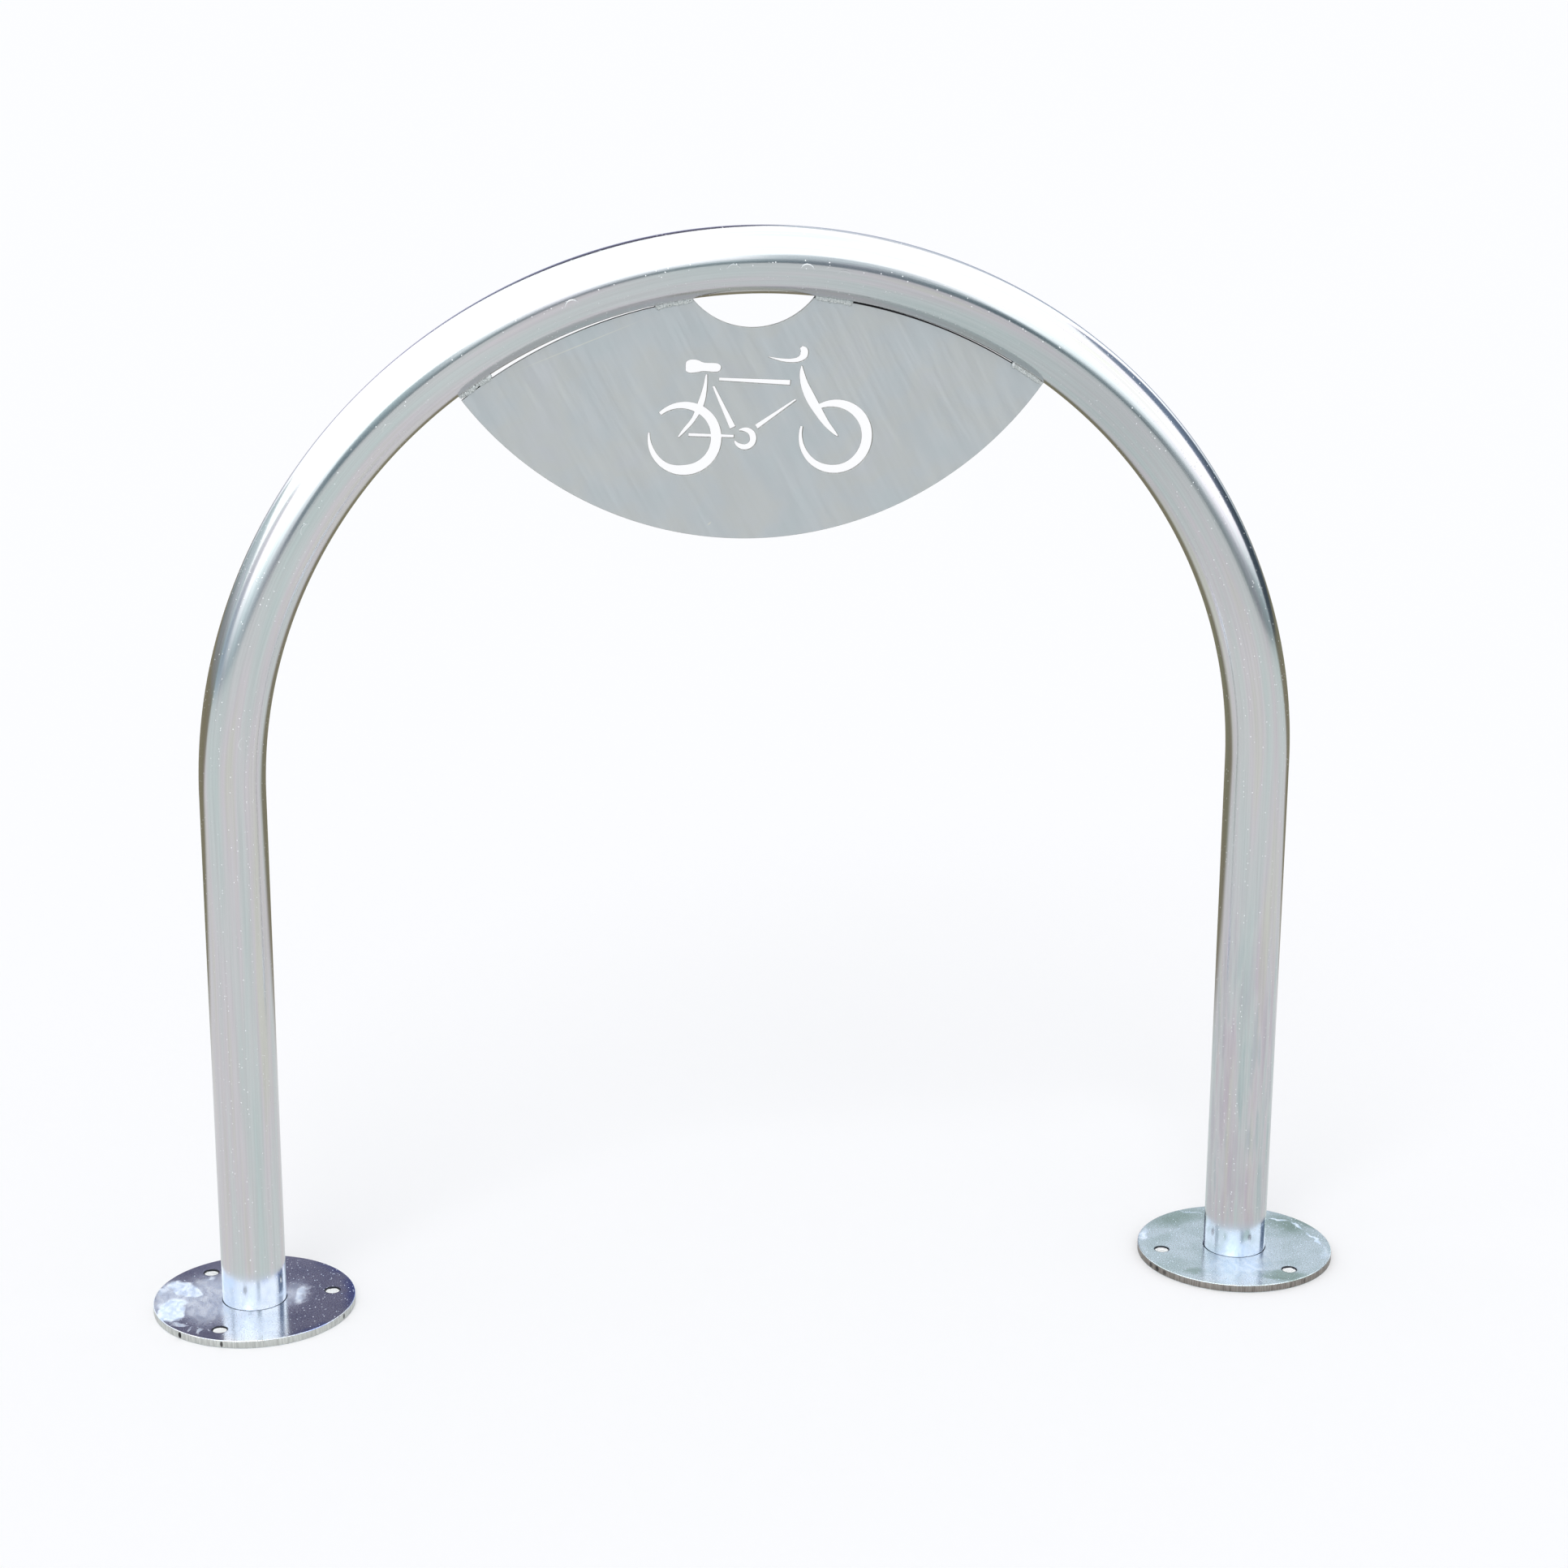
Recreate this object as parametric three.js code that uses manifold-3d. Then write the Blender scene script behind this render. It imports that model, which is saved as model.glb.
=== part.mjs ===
// Hoop bike rack: a bent steel tube on two bolt-down base flanges, with a sign plate welded
// under its arch and a bicycle cut through the plate.
// Millimetres, +Z up. The origin is on the ground midway between the legs. The hoop stands
// in the XZ plane and its front looks towards -Y.

import * as THREE from 'three';
import { mergeVertices } from 'three/addons/utils/BufferGeometryUtils.js';
import Module from 'manifold-3d';

const wasm = await Module();
wasm.setup();

// Hoop tube
const tubeDiameter = 48.3;
const tubeWall = 3.2;
const bendRadius = 383.35; // arch centre to the middle of the tube
const archHeight = 405; // ground to the arch centre, where each leg runs into the bend
const tubeEndRecess = 2.4; // each cut end stops this far above the ground

// Base flanges
const flangeDiameter = 152;
const flangeThickness = 6;
const flangeEdgeChamfer = 0.5;
const socketClearance = 0.75; // all round the tube, in the hole that it stands in
const boltCount = 3;
const boltHoleDiameter = 10.5;
const boltHoleChamfer = 1;
const boltEdgeDistance = 17; // centre of a bolt hole to the flange's rim
const leftFlangeTurn = THREE.MathUtils.degToRad(5); // from one hole facing the other leg
const rightFlangeTurn = THREE.MathUtils.degToRad(1);

// Sign plate
const plateThickness = 3;
const plateTopGap = 0.4; // from the middle of the plate's top edge up to the tube
const plateTopSlack = 11.4; // the top edge's radius is this much under the tube's
const plateDrop = 177.7; // underside of the tube down to the plate's lowest point
const plateBottomRadius = 260;
const scoopDepth = 24.2; // underside of the tube down to the bottom of the scoop
const scoopRadius = 56;
const plateSideShift = 1.2; // the plate is welded in this far to the right
const plateTurn = THREE.MathUtils.degToRad(0.5); // and turned this far anticlockwise

// Bicycle cut through the plate
const wheelbase = 109.7;
const axleDrop = 103.9; // underside of the tube down to the axles
const figureShift = 3.8; // middle of the wheelbase, to the right of the plate's middle
const figureTurn = THREE.MathUtils.degToRad(-0.5);
const cutOverrun = 1;

// Welds
const weldGap = 0.3; // room left between a weld and the steel beside it
const plateWeldLength = 28;
const plateWeldLeg = 3.4; // down the plate
const plateWeldReach = 2.2; // out from the plate, along the tube
const plateWeldEndShare = 0.4; // size of a weld's ends beside its middle
const weldCrownPower = 0.7; // 1 rounds the crown as an ellipse, and less makes it squarer
const weldEndPower = 4; // the higher it is, the more suddenly a weld's ends narrow

// Fineness of the curves
const tubeSides = 32;
const boreSides = 16;
const archSteps = 60;
const hoopSteps = archSteps + 2;
const flangeSides = 72;
const holeSides = 24;
const edgeSteps = 20;
const wheelSteps = 40;
const spanSteps = 4;
const baseWeldSides = 36;
const weldSteps = 8;
const crownSteps = 5;

// Sizes worked out from the ones above
const tubeRadius = tubeDiameter / 2;
const tubeUnderside = bendRadius - tubeRadius;
const flangeRadius = flangeDiameter / 2;
const socketRadius = tubeRadius + socketClearance;
const boltHoleRadius = boltHoleDiameter / 2;
const boltCircleRadius = flangeRadius - boltEdgeDistance;
const baseWeldLeg = tubeEndRecess - 2 * weldGap;

// The plate's edges are circles centred on its upright middle line. Their heights are
// counted from the arch centre.
const topEdge = { radius: tubeUnderside - plateTopGap - plateTopSlack, height: plateTopSlack };
const bottomEdge = { radius: plateBottomRadius, height: tubeUnderside - plateDrop + plateBottomRadius };
const scoopEdge = { radius: scoopRadius, height: tubeUnderside - scoopDepth + scoopRadius };

// Strokes of the bicycle as shares of the wheelbase: [forwards and up from the rear axle,
// width of the stroke], along the middle of each stroke.
const strokeShares = {
  seatStay: [
    [0.146, 0.424, 0.013],
    [0.134, 0.330, 0.030],
    [0.108, 0.232, 0.044],
    [0.059, 0.130, 0.031],
    [0.000, 0.061, 0.026],
    [-0.041, 0.014, 0.013],
  ],
  chainStay: [
    [0.025, 0.028, 0.023],
    [0.326, 0.012, 0.021],
  ],
  seatTube: [
    [0.190, 0.346, 0.014],
    [0.318, 0.068, 0.040],
  ],
  downTube: [
    [0.734, 0.247, 0.015],
    [0.474, 0.072, 0.035],
  ],
  topTube: [
    [0.227, 0.391, 0.021],
    [0.698, 0.360, 0.035],
  ],
  fork: [
    [0.772, 0.471, 0.007],
    [0.774, 0.426, 0.031],
    [0.788, 0.357, 0.049],
    [0.825, 0.269, 0.064],
    [0.881, 0.172, 0.057],
    [0.941, 0.081, 0.040],
    [0.989, 0.026, 0.024],
    [1.016, -0.002, 0.008],
  ],
  handlebar: [
    [0.552, 0.531, 0.005],
    [0.637, 0.511, 0.020],
    [0.699, 0.505, 0.026],
    [0.752, 0.512, 0.035],
    [0.785, 0.537, 0.051],
    [0.788, 0.566, 0.052],
    [0.768, 0.593, 0.022],
  ],
};

// Saddle outline as shares of the wheelbase, from its back over the top to its nose.
const saddleShares = [
  [0.008, 0.471],
  [0.013, 0.508],
  [0.042, 0.523],
  [0.087, 0.519],
  [0.124, 0.503],
  [0.223, 0.492],
  [0.242, 0.468],
  [0.227, 0.441],
  [0.123, 0.443],
  [0.079, 0.436],
  [0.032, 0.435],
  [0.010, 0.449],
];

// Round strokes: centre and outer radius as shares of the wheelbase, the angles that the
// stroke runs between in degrees, clockwise, and its width at even steps along it as shares.
const ringShares = {
  rearWheel: {
    centre: [0, 0.003],
    radius: 0.244,
    from: 134,
    to: -191,
    widths: [0.026, 0.042, 0.056, 0.062, 0.071, 0.072, 0.072, 0.069, 0.048, 0.033, 0.012],
  },
  frontWheel: {
    centre: [1, -0.003],
    radius: 0.246,
    from: 120,
    to: -198,
    widths: [0.034, 0.052, 0.064, 0.070, 0.072, 0.070, 0.062, 0.055, 0.042, 0.031, 0.018],
  },
  chainRing: {
    centre: [0.400, -0.005],
    radius: 0.075,
    from: 126,
    to: -170,
    widths: [0.012, 0.032, 0.038, 0.045, 0.043, 0.042, 0.038, 0.031, 0.009],
  },
};

const zincFinish = { color: '#aeb4b7', metalness: 1, roughness: 0.34 };
const plateFinish = { color: '#b0b6b9', metalness: 1, roughness: 0.42 };
const weldFinish = { color: '#a3a8aa', metalness: 1, roughness: 0.55 };

function toSolid(geometry) {
  const bare = geometry.clone();
  bare.deleteAttribute('normal');
  bare.deleteAttribute('uv');
  const merged = mergeVertices(bare);
  return new wasm.Manifold(new wasm.Mesh({
    numProp: 3,
    vertProperties: new Float32Array(merged.attributes.position.array),
    triVerts: new Uint32Array(merged.index.array),
  }));
}

function toGeometry(solid) {
  const mesh = solid.getMesh();
  const geometry = new THREE.BufferGeometry();
  geometry.setAttribute('position', new THREE.BufferAttribute(mesh.vertProperties, mesh.numProp));
  geometry.setIndex(new THREE.BufferAttribute(mesh.triVerts, 1));
  geometry.computeVertexNormals();
  return geometry;
}

function cutAll(blank, cutters) {
  let solid = toSolid(blank);
  for (const cutter of cutters) {
    solid = solid.subtract(toSolid(cutter));
  }
  return toGeometry(solid);
}

function namedMesh(name, geometry, finish) {
  const mesh = new THREE.Mesh(geometry, new THREE.MeshStandardMaterial(finish));
  mesh.name = name;
  return mesh;
}

function circlePoints(radius, sides) {
  const circle = new THREE.EllipseCurve(0, 0, radius, radius);
  return circle.getPoints(sides).slice(0, sides);
}

// Middle line of the hoop. Equal steps of t are one step up the left leg, the steps of the
// arch, and one step down the right leg.
class HoopLine extends THREE.Curve {
  archAngle(t) {
    const share = (t * hoopSteps - 1) / archSteps;
    return Math.PI * (1 - THREE.MathUtils.clamp(share, 0, 1));
  }

  getPoint(t, target = new THREE.Vector3()) {
    const angle = this.archAngle(t);
    const step = t * hoopSteps;
    const legStep = Math.max(1 - step, step - hoopSteps + 1, 0);
    const legDrop = legStep * (archHeight - tubeEndRecess);
    target.set(Math.cos(angle), 0, Math.sin(angle)).multiplyScalar(bendRadius);
    target.z += archHeight - legDrop;
    return target;
  }

  getTangent(t, target = new THREE.Vector3()) {
    const angle = this.archAngle(t);
    return target.set(Math.sin(angle), 0, -Math.cos(angle));
  }

  getUtoTmapping(u) {
    return u;
  }
}

function hoopTube() {
  const section = new THREE.Shape(circlePoints(tubeRadius, tubeSides));
  section.holes.push(new THREE.Path(circlePoints(tubeRadius - tubeWall, boreSides)));
  return new THREE.ExtrudeGeometry(section, { steps: hoopSteps, extrudePath: new HoopLine() });
}

// A profile of [radius, height] points turned about the Z axis.
function revolve(profile, sides) {
  const points = profile.map(([radius, height]) => new THREE.Vector2(radius, height));
  return new THREE.LatheGeometry(points, sides).rotateX(Math.PI / 2);
}

// A round plate with a socket for the tube and bolt holes chamfered at the top.
function baseFlange() {
  const blank = revolve([
    [socketRadius, 0],
    [flangeRadius - flangeEdgeChamfer, 0],
    [flangeRadius, flangeEdgeChamfer],
    [flangeRadius, flangeThickness - flangeEdgeChamfer],
    [flangeRadius - flangeEdgeChamfer, flangeThickness],
    [socketRadius, flangeThickness],
    [socketRadius, 0],
  ], flangeSides);
  const holes = [];
  for (let i = 0; i < boltCount; i += 1) {
    const angle = (i / boltCount) * 2 * Math.PI;
    const hole = revolve([
      [0, -cutOverrun],
      [boltHoleRadius, -cutOverrun],
      [boltHoleRadius, flangeThickness - boltHoleChamfer],
      [boltHoleRadius + boltHoleChamfer, flangeThickness],
      [boltHoleRadius + boltHoleChamfer, flangeThickness + cutOverrun],
      [0, flangeThickness + cutOverrun],
    ], holeSides);
    holes.push(hole.translate(boltCircleRadius * Math.cos(angle), boltCircleRadius * Math.sin(angle), 0));
  }
  return cutAll(blank, holes);
}

// A fillet under the tube's cut end, against the wall of the socket. Its lower face is hollow.
function baseWeld() {
  const wall = socketRadius - weldGap;
  const top = tubeEndRecess - weldGap;
  const profile = [[wall, top]];
  for (let i = 0; i <= crownSteps; i += 1) {
    const turn = (i / crownSteps) * (Math.PI / 2);
    profile.push([
      wall - baseWeldLeg * (1 - Math.cos(turn)),
      top - baseWeldLeg * (1 - Math.sin(turn)),
    ]);
  }
  profile.push([wall, top]);
  return revolve(profile.reverse(), baseWeldSides);
}

// Right-hand point where two circles centred on the plate's middle line cross.
function crossing(first, second) {
  const square = first.radius ** 2 - second.radius ** 2 + second.height ** 2 - first.height ** 2;
  const height = square / (2 * (second.height - first.height));
  return new THREE.Vector2(Math.sqrt(first.radius ** 2 - (height - first.height) ** 2), height);
}

function angleOn(edge, point) {
  return Math.atan2(point.y - edge.height, point.x);
}

const plateTip = crossing(topEdge, bottomEdge);
const scoopCorner = crossing(topEdge, scoopEdge);

function plateOutline() {
  const tipBelow = angleOn(bottomEdge, plateTip);
  const tipAbove = angleOn(topEdge, plateTip);
  const cornerAbove = angleOn(topEdge, scoopCorner);
  const cornerBelow = angleOn(scoopEdge, scoopCorner);
  const outline = new THREE.Shape();
  outline.absarc(0, bottomEdge.height, bottomEdge.radius, Math.PI - tipBelow, tipBelow, false);
  outline.absarc(0, topEdge.height, topEdge.radius, tipAbove, cornerAbove, false);
  outline.absarc(0, scoopEdge.height, scoopEdge.radius, cornerBelow, Math.PI - cornerBelow, true);
  outline.absarc(0, topEdge.height, topEdge.radius, Math.PI - cornerAbove, Math.PI - tipAbove, false);
  return outline;
}

// A brush stroke: a smooth line through its points, with half its width laid off each way.
function strokeShape(shares) {
  const line = new THREE.CatmullRomCurve3(shares.map((point) => new THREE.Vector3(...point)));
  const samples = line.getPoints(spanSteps * (shares.length - 1));
  const left = [];
  const right = [];
  samples.forEach((sample, i) => {
    const before = samples[Math.max(i - 1, 0)];
    const after = samples[Math.min(i + 1, samples.length - 1)];
    const across = new THREE.Vector2(before.y - after.y, after.x - before.x).normalize();
    const middle = new THREE.Vector2(sample.x, sample.y).multiplyScalar(wheelbase);
    const half = (sample.z * wheelbase) / 2;
    left.push(middle.clone().addScaledVector(across, half));
    right.unshift(middle.clone().addScaledVector(across, -half));
  });
  return new THREE.Shape([...left, ...right]);
}

// A round stroke: its outer edge is an arc, and its inner edge follows the width.
function ringShape({ centre, radius, from, to, widths }) {
  const widthLine = new THREE.SplineCurve(widths.map((width, i) => new THREE.Vector2(i, width)));
  const middle = new THREE.Vector2(...centre);
  const outer = [];
  const inner = [];
  for (let i = 0; i <= wheelSteps; i += 1) {
    const share = i / wheelSteps;
    const angle = THREE.MathUtils.degToRad(THREE.MathUtils.lerp(from, to, share));
    const ray = new THREE.Vector2(Math.cos(angle), Math.sin(angle));
    const width = widthLine.getPoint(share).y;
    outer.push(middle.clone().addScaledVector(ray, radius));
    inner.unshift(middle.clone().addScaledVector(ray, radius - width));
  }
  return new THREE.Shape([...outer, ...inner].map((point) => point.multiplyScalar(wheelbase)));
}

function saddleShape() {
  const points = saddleShares.map(([along, up]) => new THREE.Vector3(along, up, 0));
  const line = new THREE.CatmullRomCurve3(points, true);
  const samples = line.getPoints(points.length * spanSteps).slice(1);
  return new THREE.Shape(samples.map(
    (sample) => new THREE.Vector2(sample.x, sample.y).multiplyScalar(wheelbase),
  ));
}

// The figure stands square to its own axle line, which is then turned and placed on the plate.
function bicycleCutters() {
  const shapes = [
    ...Object.values(strokeShares).map(strokeShape),
    ...Object.values(ringShares).map(ringShape),
    saddleShape(),
  ];
  const depth = plateThickness + 2 * cutOverrun;
  return shapes.map((shape) => new THREE.ExtrudeGeometry(shape, { depth, bevelEnabled: false })
    .translate(-wheelbase / 2, 0, -depth / 2)
    .rotateZ(figureTurn)
    .translate(figureShift, tubeUnderside - axleDrop, 0));
}

function signPlate() {
  const blank = new THREE.ExtrudeGeometry(plateOutline(), {
    depth: plateThickness,
    bevelEnabled: false,
    curveSegments: edgeSteps,
  }).translate(0, 0, -plateThickness / 2);
  return cutAll(blank, bicycleCutters()).rotateX(Math.PI / 2);
}

// Angle about the arch centre at which a point of the plate lies, once the plate is in place.
function placedAngle(point) {
  const placed = point.clone().rotateAround(new THREE.Vector2(), plateTurn);
  return Math.atan2(placed.y, placed.x + plateSideShift);
}

// Distance from the arch centre at which a weld lies on the tube, this far from the hoop's plane.
function tubeSurface(offset) {
  return bendRadius - Math.sqrt((tubeRadius + weldGap) ** 2 - offset ** 2);
}

// A weld bead in the corner between the plate and the tube, swept about the arch centre. Its
// section has a leg down the plate, a reach along the tube and a rounded crown between them,
// and it narrows towards both ends. Side is -1 on the front and 1 on the back.
function plateWeld(fromAngle, side) {
  const toAngle = fromAngle + plateWeldLength / tubeUnderside;
  const face = plateThickness / 2 + weldGap;
  const rings = [];
  for (let i = 0; i <= weldSteps; i += 1) {
    const share = (1 - Math.cos((i / weldSteps) * Math.PI)) / 2;
    const angle = THREE.MathUtils.lerp(fromAngle, toAngle, share);
    const fullness = (1 - (2 * share - 1) ** weldEndPower) ** (1 / weldEndPower);
    const size = THREE.MathUtils.lerp(plateWeldEndShare, 1, fullness);
    const section = [[tubeSurface(face), face]];
    for (let k = 0; k <= crownSteps; k += 1) {
      const turn = (k / crownSteps) * (Math.PI / 2);
      const drop = plateWeldLeg * size * Math.cos(turn) ** weldCrownPower;
      const offset = face + plateWeldReach * size * Math.sin(turn) ** weldCrownPower;
      section.push([tubeSurface(offset) - drop, offset]);
    }
    if (side > 0) {
      section.reverse();
    }
    rings.push(section.map(([radius, offset]) => new THREE.Vector3(
      radius * Math.cos(angle),
      side * offset,
      archHeight + radius * Math.sin(angle),
    )));
  }
  return loft(rings);
}

// A closed skin over rings of equally many points, with a flat fan at each end.
function loft(rings) {
  const count = rings[0].length;
  const last = (rings.length - 1) * count;
  const faces = [];
  for (let i = 0; i < rings.length - 1; i += 1) {
    for (let k = 0; k < count; k += 1) {
      const here = i * count + k;
      const beside = i * count + ((k + 1) % count);
      faces.push(here, beside, beside + count, here, beside + count, here + count);
    }
  }
  for (let k = 1; k < count - 1; k += 1) {
    faces.push(0, k + 1, k, last, last + k, last + k + 1);
  }
  const geometry = new THREE.BufferGeometry().setFromPoints(rings.flat());
  geometry.setIndex(faces);
  geometry.computeVertexNormals();
  return geometry;
}

const rack = new THREE.Group();
rack.add(namedMesh('hoop_tube', hoopTube(), zincFinish));

// One bolt hole of each flange faces the other leg, but for the turn it was set with.
const legs = [
  { side: 'left', position: -bendRadius, turn: leftFlangeTurn },
  { side: 'right', position: bendRadius, turn: Math.PI + rightFlangeTurn },
];
for (const { side, position, turn } of legs) {
  const flange = namedMesh(`base_flange_${side}`, baseFlange(), zincFinish);
  flange.position.x = position;
  flange.rotation.z = turn;
  const weld = namedMesh(`base_weld_${side}`, baseWeld(), weldFinish);
  weld.position.x = position;
  rack.add(flange, weld);
}

const plate = namedMesh('sign_plate', signPlate(), plateFinish);
plate.position.set(plateSideShift, 0, archHeight);
plate.rotation.y = -plateTurn;
rack.add(plate);

// The plate is welded at its two tips and beside the scoop, on both faces.
const weldSweep = plateWeldLength / tubeUnderside;
const leftTip = new THREE.Vector2(-plateTip.x, plateTip.y);
const leftCorner = new THREE.Vector2(-scoopCorner.x, scoopCorner.y);
const weldStarts = {
  tip_left: placedAngle(leftTip) - weldSweep,
  tip_right: placedAngle(plateTip),
  top_left: placedAngle(leftCorner),
  top_right: placedAngle(scoopCorner) - weldSweep,
};
for (const [place, start] of Object.entries(weldStarts)) {
  rack.add(namedMesh(`plate_weld_${place}_front`, plateWeld(start, -1), weldFinish));
  rack.add(namedMesh(`plate_weld_${place}_back`, plateWeld(start, 1), weldFinish));
}

export default rack;
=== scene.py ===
import math

import bmesh
import bpy
import numpy as np
from mathutils import Matrix, Vector
from mathutils.geometry import delaunay_2d_cdt


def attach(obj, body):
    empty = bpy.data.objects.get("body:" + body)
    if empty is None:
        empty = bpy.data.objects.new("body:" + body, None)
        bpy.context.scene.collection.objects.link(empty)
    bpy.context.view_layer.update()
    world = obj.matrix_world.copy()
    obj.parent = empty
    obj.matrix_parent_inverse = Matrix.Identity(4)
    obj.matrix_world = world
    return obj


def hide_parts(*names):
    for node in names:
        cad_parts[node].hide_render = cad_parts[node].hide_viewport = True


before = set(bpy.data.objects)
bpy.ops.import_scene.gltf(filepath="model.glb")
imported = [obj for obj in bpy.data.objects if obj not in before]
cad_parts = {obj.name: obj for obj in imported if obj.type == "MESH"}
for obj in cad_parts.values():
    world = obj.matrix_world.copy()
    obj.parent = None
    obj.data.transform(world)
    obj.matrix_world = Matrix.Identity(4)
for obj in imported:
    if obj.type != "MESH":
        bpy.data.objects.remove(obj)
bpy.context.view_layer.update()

# Hoop bike rack in zinc plated steel. Lengths are in metres, in the frame of the solids: the
# origin is on the ground between the legs, the hoop stands in the XZ plane, and -Y is its front.
MM = 0.001

# Camera
CAMERA_POSITION = Vector((-0.30319, -2.33436, 1.09417))
CAMERA_AZIMUTH = math.radians(7.9175)  # from +Y towards +X
CAMERA_ELEVATION = math.radians(-16.4321)
CAMERA_ROLL = math.radians(0.3058)
CAMERA_LENS = 75.8155  # mm, on a sensor 36 mm wide
SENSOR_WIDTH = 36.0

# Stage
FLOOR_HALF = 80.0
FLOOR_SEEN = "#fefefe"
FLOOR_MIRRORED = "#e8eae9"
FLOOR_BEHIND = "#8c8872"  # in reflections, and only well behind the hoop
FLOOR_CHANGE = (0.40, 0.75)  # its colour changes between these distances behind the hoop
SKY_LIGHT = 0.9
SKY_GLOW = (1.0, 1.8)  # of the sky that is mirrored, at the horizon and overhead
LAMP_STRENGTH = 0.5
LAMP_WIDTH = math.radians(32)
LAMP_TURN = (math.radians(38), math.radians(-20), 0)
SCREEN_DISTANCE = 9.0
SCREEN_BASE = 0.6  # height from which a screen's elevation is counted
SCREEN_BLEND = math.radians(1.5)  # a screen e times this higher outweighs another e times e fold
SCREEN_CHANGE = (0.2, 0.7)  # its colour changes between these shares of its height
SCREEN_ROWS = 13

# Dim screens that only reflections see: azimuth from +Y towards +X, half width and elevation of
# the top, in degrees, and colours at the foot and the top. The first is the skyline all round.
SCREENS = [
    (180, 360, 0.8, "#c4ced2", "#d3dde2"),
    (152, 66, 4.5, "#5f6e6e", "#96a6aa"), (-4, 15, 37, "#b4b6d8", "#504c60"),
    (20, 13, 34, "#a9aecb", "#e6f1f7"), (66, 19, 34, "#46535e", "#8c9cb6"),
    (166, 8, 25, "#71828b", "#dde7ee"), (197, 8, 13, "#6c7e88", "#b6c5cd"),
    (266, 10, 25, "#a9b9c8", "#e9f1f6"), (300, 26, 16, "#919899", "#cfdde3"),
]

# Hoop tube
TUBE_RADIUS = 24.15 * MM
TUBE_WALL = 3.2 * MM
BEND_RADIUS = 383.35 * MM
ARCH_HEIGHT = 405 * MM
TUBE_END_RECESS = 2.4 * MM
TUBE_END_ROUND = 0.4 * MM
LEG_LENGTH = ARCH_HEIGHT - TUBE_END_RECESS
TUBE_LENGTH = 2 * LEG_LENGTH + math.pi * BEND_RADIUS

# Base flanges
FLANGE_RADIUS = 76 * MM
FLANGE_THICKNESS = 6 * MM
SOCKET_CLEARANCE = 0.35 * MM
BOLT_HOLE_RADIUS = 5.25 * MM
BOLT_HOLE_CHAMFER = 0.7 * MM
BOLT_CIRCLE_RADIUS = 59 * MM
BOLT_COUNT = 3
HOLE_SHADE_REACH = 6.7 * MM  # from the middle of a bolt hole to the outside of the ring of painted shade round it
HOLE_SHADE_DEPTHS = (0.8 * MM, 0.3 * MM)  # a hole's wall turns from painted light to painted shade between these depths
FLANGE_ARRIS = 0.5 * MM
HOLE_ARRIS = 0.3 * MM
FLANGE_TURNS = {"left": math.radians(5), "right": math.radians(181)}
FLANGE_PLACES = {"left": -BEND_RADIUS, "right": BEND_RADIUS}

# Sign plate, with heights counted from the arch centre
PLATE_THICKNESS = 3 * MM
PLATE_ARRIS = 0.22 * MM
TUBE_UNDERSIDE = BEND_RADIUS - TUBE_RADIUS
PLATE_TOP_GAP = 0.4 * MM
PLATE_TOP_SLACK = {-1: 12.4 * MM, 1: 4.5 * MM}  # left and right of the middle line
PLATE_DROP = 177.7 * MM
PLATE_BOTTOM_RADIUS = 260 * MM
SCOOP_DEPTH = 24.2 * MM
SCOOP_RADIUS = 56 * MM
PLATE_SIDE_SHIFT = 1.2 * MM
PLATE_TURN = math.radians(0.5)
TOP_EDGES = {side: (TUBE_UNDERSIDE - PLATE_TOP_GAP - slack, slack)
             for side, slack in PLATE_TOP_SLACK.items()}
BOTTOM_EDGE = (PLATE_BOTTOM_RADIUS, TUBE_UNDERSIDE - PLATE_DROP + PLATE_BOTTOM_RADIUS)
SCOOP_EDGE = (SCOOP_RADIUS, TUBE_UNDERSIDE - SCOOP_DEPTH + SCOOP_RADIUS)

# Bicycle cut through the plate
WHEELBASE = 109.7 * MM
AXLE_DROP = 103.9 * MM
FIGURE_SHIFT = 3.8 * MM
FIGURE_TURN = math.radians(-0.5)

# Strokes as shares of the wheelbase: forwards and up from the rear axle, and the width there.
STROKE_SHARES = {
    "seat_stay": [
        (0.146, 0.424, 0.013), (0.134, 0.330, 0.030), (0.108, 0.232, 0.044),
        (0.059, 0.130, 0.031), (0.000, 0.061, 0.026), (-0.041, 0.014, 0.013),
    ],
    "chain_stay": [(0.025, 0.028, 0.023), (0.326, 0.012, 0.021)],
    "seat_tube": [(0.190, 0.346, 0.014), (0.318, 0.068, 0.040)],
    "down_tube": [(0.734, 0.247, 0.015), (0.474, 0.072, 0.035)],
    "top_tube": [(0.227, 0.391, 0.021), (0.698, 0.360, 0.035)],
    "fork": [
        (0.772, 0.471, 0.007), (0.774, 0.426, 0.031), (0.788, 0.357, 0.049),
        (0.825, 0.269, 0.064), (0.881, 0.172, 0.057), (0.941, 0.081, 0.040),
        (0.989, 0.026, 0.024), (1.016, -0.002, 0.008),
    ],
    "handlebar": [
        (0.552, 0.531, 0.005), (0.637, 0.511, 0.020), (0.699, 0.505, 0.026),
        (0.752, 0.512, 0.035), (0.785, 0.537, 0.051), (0.788, 0.566, 0.052),
        (0.768, 0.593, 0.022),
    ],
}
SADDLE_SHARES = [
    (0.008, 0.471), (0.013, 0.508), (0.042, 0.523), (0.087, 0.519), (0.124, 0.503),
    (0.223, 0.492), (0.242, 0.468), (0.227, 0.441), (0.123, 0.443), (0.079, 0.436),
    (0.032, 0.435), (0.010, 0.449),
]
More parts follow.
